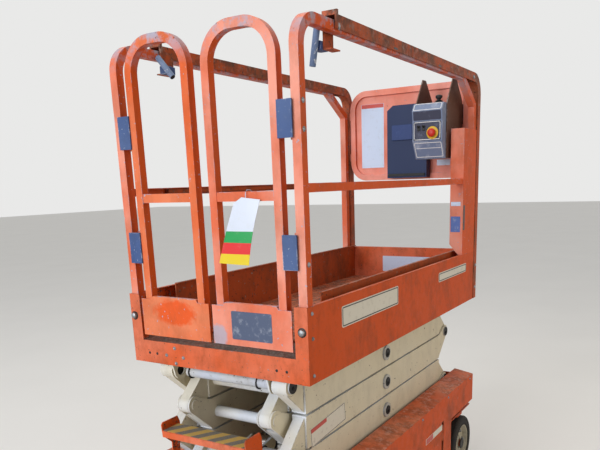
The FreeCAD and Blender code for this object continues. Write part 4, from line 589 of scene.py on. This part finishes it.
def studio_floor():
    """A pale matt floor. What the eye sees of it is lightened a little, and the machine gets none of that."""
    material, tree, place = new_material("pale_studio_floor")
    clouds = node(tree, "ShaderNodeTexNoise", {"Vector": place, "Scale": per(900), "Detail": 3.0})
    colour = node(tree, "ShaderNodeMix",
                  {0: clouds, 6: linear("CBC9C5"), 7: linear("D4D2CE")}, 2, data_type="RGBA")
    lift = node(tree, "ShaderNodeMapRange", {0: seen_by_eye(tree), 3: 0.0, 4: 0.26})
    shader = node(tree, "ShaderNodeBsdfPrincipled",
                  {"Base Color": colour, "Roughness": 0.9, "Emission Color": linear("F4F3F0"),
                   "Emission Strength": lift})
    node(tree, "ShaderNodeOutputMaterial", {"Surface": shader})
    mesh = bpy.data.meshes.new("studio_floor")
    mesh.from_pydata([(-40, -40, 0), (40, -40, 0), (40, 40, 0), (-40, 40, 0)], [], [(0, 1, 2, 3)])
    mesh.materials.append(material)
    floor = bpy.data.objects.new("studio_floor", mesh)
    bpy.context.scene.collection.objects.link(floor)


def studio_light():
    """A broad cool lamp behind the machine, as from an open doorway, soft fills, and a pale world."""
    world = bpy.data.worlds.new("studio")
    world.use_nodes = True
    sky = world.node_tree
    sky.nodes.clear()
    strength = node(sky, "ShaderNodeMapRange", {0: seen_by_eye(sky), 3: 0.42, 4: 1.0})
    pale = node(sky, "ShaderNodeBackground", {"Color": linear("E9E9E8"), "Strength": strength})
    node(sky, "ShaderNodeOutputWorld", {"Surface": pale})
    bpy.context.scene.world = world
    lamp("doorway", (-10.0, 2.0, 3.8), 6.0, 880, "F4F8FF")
    lamp("overhead", (0.4, 0.6, 5.6), 4.0, 90, "FFFBF4")
    lamp("near_side", (0.8, -5.0, 2.4), 3.5, 60, "FFF3E2")


def platform_fittings():
    """Bolts, plugs, blank plates and treads that ride on the platform."""
    sill_x, board_y = corners("platform_sides")[0].x, corners("platform_sides")[1].y
    sill_plug_z, corner_bolt_z = 978, 1116
    post_x, post_face_y, board_bolt_x = -799, 386, -797
    sill_bolts = [(sill_x, y, z) for y, z in ((186, 1007), (228, 977), (147, 975), (184, 950))]
    bolts("sill_bolts", sill_bolts, -X, 4.5, "platform")
    plugs = bmesh.new()
    for y in (313, 275, -263, -303):
        turned(plugs, (sill_x, y, sill_plug_z), -X, ((5, 0), (5, 0.8), (3.5, 1.4)), 16)
    piece("sill_plugs", plugs, BLACK, "platform")
    seats, heads = bmesh.new(), bmesh.new()
    for y in (-368, 372):
        turned(seats, (sill_x, y, corner_bolt_z), -X, ((16, 0), (16, 1), (14, 1.6)), 32)
        turned(heads, (sill_x - 1.4, y, corner_bolt_z), -X, ((12, 0), (12, 3), (10, 7), (5, 9.5)), 32)
    piece("corner_bolt_seats", seats, DARK_STEEL, "platform")
    piece("corner_bolts", heads, ZINC, "platform")
    for side, sign in SIDES.items():
        post_bolts = [(post_x, sign * post_face_y, z) for z in (1814, 1733, 1330)]
        bolts("post_bolts_" + side, post_bolts, Y * sign, 5.5, "platform")
        board_bolts = [(board_bolt_x, sign * board_y, z) for z in (1174, 1092, 968)]
        bolts("toe_board_bolts_" + side, board_bolts, Y * sign, 4.5, "platform")
        board_plates(side, sign, board_y)
    wide_post_fittings(board_y)
    deck_z = corners("platform_deck")[1].z
    rear_deck, main_deck = ((-818, -330), (-652, 330)), ((-640, -240), (868, 240))
    lens_tread("main_deck_tread_rear", *rear_deck, deck_z, TREAD_MAIN_SHADED, "platform", "deck_plate")
    lens_tread("main_deck_tread", *main_deck, deck_z, TREAD_MAIN_SHADED, "platform", "deck_plate")


def board_plates(side, sign, board_y):
    """The two blank plates on a side toe board, in black frames."""
    across = X * -sign
    for name, x, z, size in (("long", -361, 1124, (480, 76)), ("small", 551, 1127, (404, 44))):
        middle = Vector((x, sign * board_y, z))
        plates(f"{name}_board_plate_{side}", [(middle, size)], across, Z, BUFF_FILM, "platform",
               radius=9)
        line = bmesh.new()
        framed(line, middle, across, Z, (size[0] - 8, size[1] - 8), 4, 1.3, 7)
        piece(f"{name}_board_plate_line_{side}", line, BLACK_FILM, "platform")


def wide_post_fittings(board_y):
    """Two blank plates, a black strip and the foot stop on the right side's wide front post."""
    plate_x, inner_y = 682, -353
    for name, z, tall, material in (("stanchion_white_plate", 1453, 20, WHITE_FILM),
                                    ("stanchion_blue_plate", 1352, 78, BLUE_FILM)):
        plates(name, [((plate_x, inner_y, z), (50, tall))], -Y, Z, material, "platform",
               radius=2)
    plates("stanchion_side_strip", [((702, -board_y, 1384), (26, 124))], X, Z, BLACK_FILM, "platform")
    foot = bmesh.new()
    turned(foot, (700, -371, 1198), Z, ((11, 0), (11, 9), (8, 13)), 20)
    piece("stanchion_foot_stop", foot, SLATE, "platform")


def gate_fittings():
    """The blank plate on the right gate and the card that hangs from its cross tube."""
    kick_x = corners("gate_right")[0].x
    plates("kick_plate_label", [((kick_x, -169, 1118), (166, 98))], -Y, Z, SLATE_FILM, "gate_right",
           radius=5)
    card = bmesh.new()
    card_x, steps, cut_corner = -826, 12, Vector((0, -24, 0))
    rings = []
    for i in range(steps + 1):
        t = i / steps
        belly = math.sin(math.pi * t)
        left = Vector((card_x - 5 * belly, -136 + 84 * t, 1540 - 213 * t))
        right = Vector((card_x - 9 * belly, -232 + 58 * t, 1532 - 209 * t))
        if i == 0:
            left = left + cut_corner
        front = [left.lerp(right, k / 5) - X * 1.5 * math.sin(math.pi * k / 5) for k in range(6)]
        rings.append(front + [point + X * 0.9 for point in reversed(front)])
    skin_rings(card, rings)
    piece("gate_tag", card, TAG_CARD, "gate_right")
    tie = bmesh.new()
    loop = [(-822, 1530), (-826, 1538), (-824, 1556), (-816, 1562), (-800, 1562), (-788, 1556), (-787, 1530),
            (-794, 1522), (-812, 1522), (-822, 1530)]
    sweep(tie, [(x, -176, z) for x, z in loop], 1.2, 8)
    piece("gate_tag_tie", tie, WHITE_FILM, "gate_right")


def extension_fittings():
    """Tread, notices, slots and bolts on the roll-out extension."""
    low, high = corners("extension_deck")
    deck_z, panel_x, notice_y, channel_z = 1035, 902, 212, 2050
    lens_tread("extension_tread", (low.x + 8, low.y + 14), (high.x - 8, high.y - 14), deck_z, TREAD,
               "extension", "deck_plate")
    toe_x = corners("extension_toe_board")[0].x
    plates("toe_notice", [((toe_x, -12, 1112), (318, 88))], -Y, Z, WHITE_FILM, "extension")
    plates("panel_notice", [((panel_x, notice_y, 1822), (138, 342))], -Y, Z, WHITE_FILM, "extension",
           radius=3)
    plates("panel_notice_header", [((panel_x - 0.7, notice_y, 1982), (134, 20))], -Y, Z, RED_FILM, "extension",
           0.5, 3)
    plates("panel_small_plate", [((panel_x, -206, 1664), (74, 30))], -Y, Z, WHITE_FILM, "extension")
    face_y = corners("extension_rail_left")[1].y - 5
    for side, sign in SIDES.items():
        end_bolts = [(-582, sign * face_y, channel_z), (800, sign * face_y, channel_z + 10)]
        bolts("channel_bolts_" + side, end_bolts, Y * sign, 7, "extension")
        # Each slot is a black sheet on the channel's face: painted shade for the dark inside of the slot.
        slots = [((x, sign * face_y, channel_z), (34, 7)) for x in (-143, 324)]
        plates("painted_shade_in_channel_slots_" + side, slots, X * -sign, Z, BLACK_FILM, "extension",
               radius=3)
        foot_bolts = [(904, sign * face_y, z) for z in (1000, 1120)]
        bolts("post_foot_bolts_" + side, foot_bolts, Y * sign, 6, "extension")


def lock_handles():
    """Slim latch handles at the channels' rear ends, each turned to its own angle, with their boxes."""
    tubes, ends, boxes = bmesh.new(), bmesh.new(), bmesh.new()
    right, left = ((-622, -317, 1936), (-622, -339, 2056)), ((-622, 274, 1966), (-622, 340, 2040))
    for low, high in (right, left):
        run = Vector(high) - Vector(low)
        length = run.length
        turned(tubes, low, run.normalized(), ((8.5, 3), (8.5, 0), (10, -1), (10.5, 2), (10.5, length - 1),
                                              (9.5, length)), 28)
        turned(ends, low, run.normalized(), ((8.4, -0.5), (8.4, 2), (5, 2.5)), 28)
    box_x, box_y, box_z = -612, 328, 1997
    for y in (-box_y, box_y):
        sheet(boxes, (box_x, y, box_z), Y, Z, (30, 28), 50, 3)
    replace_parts(piece("lock_tubes", tubes, SLATE_WORN, "extension"), "slide_locks")
    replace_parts(piece("lock_boxes", boxes, SLATE, "extension"), "slide_locks")
    piece("lock_tube_ends", ends, BLACK, "extension")


def document_box_trim():
    """A washed-out pocket and a dark foot on the paper box."""
    low, high = corners("document_box")
    face_x = 828
    pocket, foot = bmesh.new(), bmesh.new()
    sheet(pocket, (face_x, 1, 1826), -Y, Z, (118, 78), 6, 6)
    piece("document_box_pocket", pocket, PALE_BLUE, "extension")
    sheet(foot, (face_x, (low.y + high.y) / 2, 1606), -Y, Z, (high.y - low.y - 14, 14), 3, 3)
    piece("document_box_foot", foot, BLACK, "extension")


def control_station():
    """The operator's box: dark face with white lines, stop button, joystick with bellows, switches."""
    face_x, middle_y, face_z, wide = 605, -227, 1809, 142
    button_y, button_z, switch_z = -255, 1798, 1822
    slope_up = Vector((-46, 0, 84)).normalized()
    brow_up = Vector((-8, 0, 48)).normalized()
    crown_up = Vector((24, 0, 34)).normalized()
    face = bmesh.new()
    sheet(face, (face_x, middle_y, face_z), -Y, Z, (wide, 90), 2, 6)
    sheet(face, (601, middle_y, 1880), -Y, brow_up, (wide, 42), 2, 5)
    piece("control_face", face, GREY_DARK, "extension")
    lines = bmesh.new()
    framed(lines, (face_x - 2, middle_y, face_z), -Y, Z, (wide - 6, 84), 2.5, 0.8, 6)
    framed(lines, (628, middle_y, 1720), -Y, slope_up, (wide, 78), 3, 1, 6)
    sheet(lines, (624, middle_y, 1728), -Y, slope_up, (128, 3), 1, 1)
    framed(lines, (609, middle_y, 1921), -Y, crown_up, (wide, 38), 2.5, 1, 5)
    piece("control_lines", lines, WHITE_LINE, "extension")
    ring, button, stick, switches = (bmesh.new() for _ in range(4))
    turned(ring, (face_x - 2, button_y, button_z), -X, ((30, 0), (30, 2.5), (27, 4), (16, 4.4)), 40)
    piece("stop_button_ring", ring, YELLOW, "extension")
    mushroom = ((12, 0), (12, 7), (19, 9), (20, 12), (19, 17), (14, 20.5), (6, 22))
    turned(button, (face_x - 6, button_y, button_z), -X, mushroom, 40)
    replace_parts(piece("stop_button", button, RED, "extension"), "control_knobs")
    bellows = ((26, 0), (26, 3), (19, 5), (21, 8), (16, 10), (18, 13), (12, 15), (9, 18))
    grip = ((9, 22), (15, 25), (17, 31), (16, 37), (9, 41))
    turned(stick, (680, -258, 1938), Z, bellows + grip, 32)
    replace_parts(piece("joystick", stick, BLACK, "extension"), "control_knobs")
    for y in (-210, -184):
        sheet(switches, (face_x - 2, y, switch_z), -Y, Z, (16, 24), 4, 3)
        turned(switches, (face_x - 6, y, switch_z + 4), (-1, 0, 0.5), ((4, 0), (3, 10), (4, 14), (3, 16)), 16)
    piece("control_switches", switches, BLACK, "extension")
    screws = [(face_x - 2, middle_y + y, face_z + z) for y in (-64, 64) for z in (-37, 37)]
    bolts("control_screws", screws, -X, 2.4, "extension")


def ladder_treads():
    """Striped tape on the entry ladder's two treads."""
    tread_x = corners("entry_ladder")[0].x + 43
    for name, z in (("upper", 722), ("lower", 395)):
        plates(f"ladder_grip_{name}", [((tread_x, 0, z), (78, 368))], X, Y, GRIP, "chassis",
               1.4, 4)


def chassis_fittings():
    """Door labels and latches on the trays, and bolts along the covers."""
    cover_y, door_y = corners("side_cover_left")[1].y, 402
    label_x, label_z = 283, 366
    for side, sign in SIDES.items():
        across, tray = X * -sign, "tray_" + side
        plates("door_label_" + side, [((label_x, sign * door_y, label_z), (220, 30))], across, Z, BUFF_FILM,
               tray, radius=3)
        band = (label_x - 62, sign * (door_y + 0.7), label_z)
        plates("door_label_band_" + side, [(band, (88, 26))], across, Z, RED_FILM, tray,
               0.5, 3)
        latch = bmesh.new()
        turned(latch, (-125, sign * door_y, 361), Y * sign, ((17, 0), (17, 2), (13, 2.8), (9, 2.9)), 28)
        piece("door_latch_" + side, latch, DARK_STEEL, tray)
        cover_bolts = [(x, sign * cover_y, 500) for x in (-760, -300, 120, 470, 820)]
        bolts("cover_bolts_" + side, cover_bolts, Y * sign, 4, "chassis")


def wheel_fittings():
    """Nuts on the dished wheels, the moulded beads on each tyre's side, and hub caps."""
    axle_z, stud_circle, dish_y, tyre_y, hub_y = 152.5, 66, 374, 400, 396
    for end, axle_x in (("rear", -610), ("front", 725)):
        for side, sign in SIDES.items():
            out, body = Y * sign, f"wheel_{end}_{side}"
            nuts, bead, cap = bmesh.new(), bmesh.new(), bmesh.new()
            spots = [(axle_x + stud_circle * math.cos(math.radians(a)), sign * dish_y,
                      axle_z + stud_circle * math.sin(math.radians(a))) for a in range(0, 360, 72)]
            hex_nuts(nuts, spots, out, 8.5, 10)
            piece(f"wheel_nuts_{end}_{side}", nuts, ZINC, body)
            for radius in (112, 134):
                ring = ((radius - 2.2, -1), (radius - 1.4, 1.2), (radius + 1.4, 1.2), (radius + 2.2, -1))
                turned(bead, (axle_x, sign * tyre_y, axle_z), out, ring, 72, closed=True)
            piece(f"tyre_beads_{end}_{side}", bead, TYRE, body)
            dome = ((30, 0), (30, 2), (27, 5), (12, 6.5), (10, 6))
            turned(cap, (axle_x, sign * hub_y, axle_z), out, dome, 40)
            piece(f"hub_cap_{end}_{side}", cap, DARK_STEEL, body)


def pin_face(faces, rings, spot, out, radius):
    """A hollow pin end in its snap ring, with the head of its lock screw. The whole end is a black disc:
    painted shade for the dark inside of the hollow pin.
    """
    turned(faces, spot, out, ((radius, 0), (radius, 0.8), (radius - 2, 1.2)), 40)
    turned(rings, spot, out, ((radius - 5, 0.4), (radius - 5, 2.6), (radius - 1, 2.6), (radius - 1, 0.4)), 40,
           closed=True)
    turned(rings, Vector(spot) + Vector((3, 0, -7)), out, ((8, 0), (8, 4), (3, 4.4), (2.4, 8)), 20)


def arm_fittings():
    """Snap rings and hollow pin ends on every pivot, collars on the shafts, and a blank notice."""
    centre_x, lowest_z, half_rise, rear_x, front_x = -17.9, 380, 66.238, -775, 739.2
    middle_face_y, shaft_face_y, top_shaft_face_y = 294, 290, 291
    collar = ((26, 0), (26, 2), (22, 2.4))
    for level in LEVELS:
        faces, rings = bmesh.new(), bmesh.new()
        middle_z = lowest_z + half_rise * (2 * level - 1)
        shaft_x, shaft_z = rear_x if level % 2 == 0 else front_x, middle_z + half_rise
        shaft_y = top_shaft_face_y if level == LEVELS[-1] else shaft_face_y
        for sign in (1, -1):
            pin_face(faces, rings, (centre_x, sign * middle_face_y, middle_z), Y * sign, 21)
            pin_face(faces, rings, (shaft_x, sign * shaft_y, shaft_z), Y * sign, 24)
            for arm_y in (155, 225):
                turned(rings, (shaft_x, sign * (arm_y - 1), shaft_z), Y * -sign, collar, 40)
        piece(f"pin_ends_in_painted_shade_{level}", faces, BLACK, f"outer_{level}")
        piece(f"snap_rings_{level}", rings, DARK_STEEL, f"outer_{level}")
    lean = math.radians(5)
    across, up = Vector((math.cos(lean), 0, math.sin(lean))), Vector((-math.sin(lean), 0, math.cos(lean)))
    middle = Vector((-533, -285, 690))
    plates("arm_notice", [(middle, (262, 74))], across, up, BUFF_FILM, "outer_3",
           radius=3)
    line = bmesh.new()
    framed(line, middle, across, up, (258, 70), 2, 1.1, 3)
    piece("arm_notice_line", line, BLACK_FILM, "outer_3")
    header = middle - across * 70 + up * 26 - Y * 0.7
    plates("arm_notice_header", [(header, (112, 16))], across, up, RED_FILM, "outer_3",
           0.5, 2)


def battery_fittings():
    """Seams between the six cells' cases, and the links and end posts that join them."""
    low, high = corners("battery_pack")
    cell, case_top, post_inset = (high.x - low.x) / 6, high.z - 8, 26
    seams, links = bmesh.new(), bmesh.new()
    for i in range(1, 6):
        x = low.x + cell * i
        y = high.y - post_inset if i % 2 else low.y + post_inset
        sheet(seams, (x, (low.y + high.y) / 2, case_top), X, Y, (4, high.y - low.y - 12), 3, 1.5)
        sheet(links, (x, y, case_top + 3), X, Y, (74, 14), 4, 4)
    for x in (low.x + 30, high.x - 30):
        turned(links, (x, low.y + post_inset, case_top), Z, ((10, 0), (10, 5), (7, 6), (7, 16), (6, 17)), 24)
    piece("battery_seams", seams, GREY_DARK, "tray_left")
    piece("battery_links", links, ZINC, "tray_left")


def hydraulic_fittings():
    """Clamp bands and the end cap on the pump, and the tank's filler cap and lid bolts."""
    low, high = corners("hydraulic_pack")
    pump_y, pump_z, tank_top = high.y - 80, low.z + 61, low.z + 150
    bands, filler = bmesh.new(), bmesh.new()
    for x in (-36, 30, 120, 206):
        turned(bands, (x, pump_y, pump_z), X, ((55, 0), (57, 1), (57, 6), (55, 7)), 40, closed=True)
    turned(bands, (212, pump_y, pump_z), X, ((30, 0), (30, 2), (12, 3), (12, 6), (9, 7)), 32)
    turned(filler, (low.x + 47, pump_y, high.z - 2), Z, ((24, 0), (24, 4), (22, 7), (8, 8)), 12)
    piece("pump_bands", bands, ZINC, "tray_right")
    piece("tank_cap", filler, DARK_STEEL, "tray_right")
    lid_bolts = [(x, y, tank_top) for x in (low.x + 12, low.x + 228) for y in (low.y + 12, high.y - 12)]
    bolts("tank_bolts", lid_bolts, Z, 4, "tray_right")


dress_all()
platform_fittings()
gate_fittings()
extension_fittings()
lock_handles()
document_box_trim()
control_station()
ladder_treads()
chassis_fittings()
wheel_fittings()
arm_fittings()
battery_fittings()
hydraulic_fittings()
camera()
studio_floor()
studio_light()
bpy.context.scene.view_settings.view_transform = "Standard"
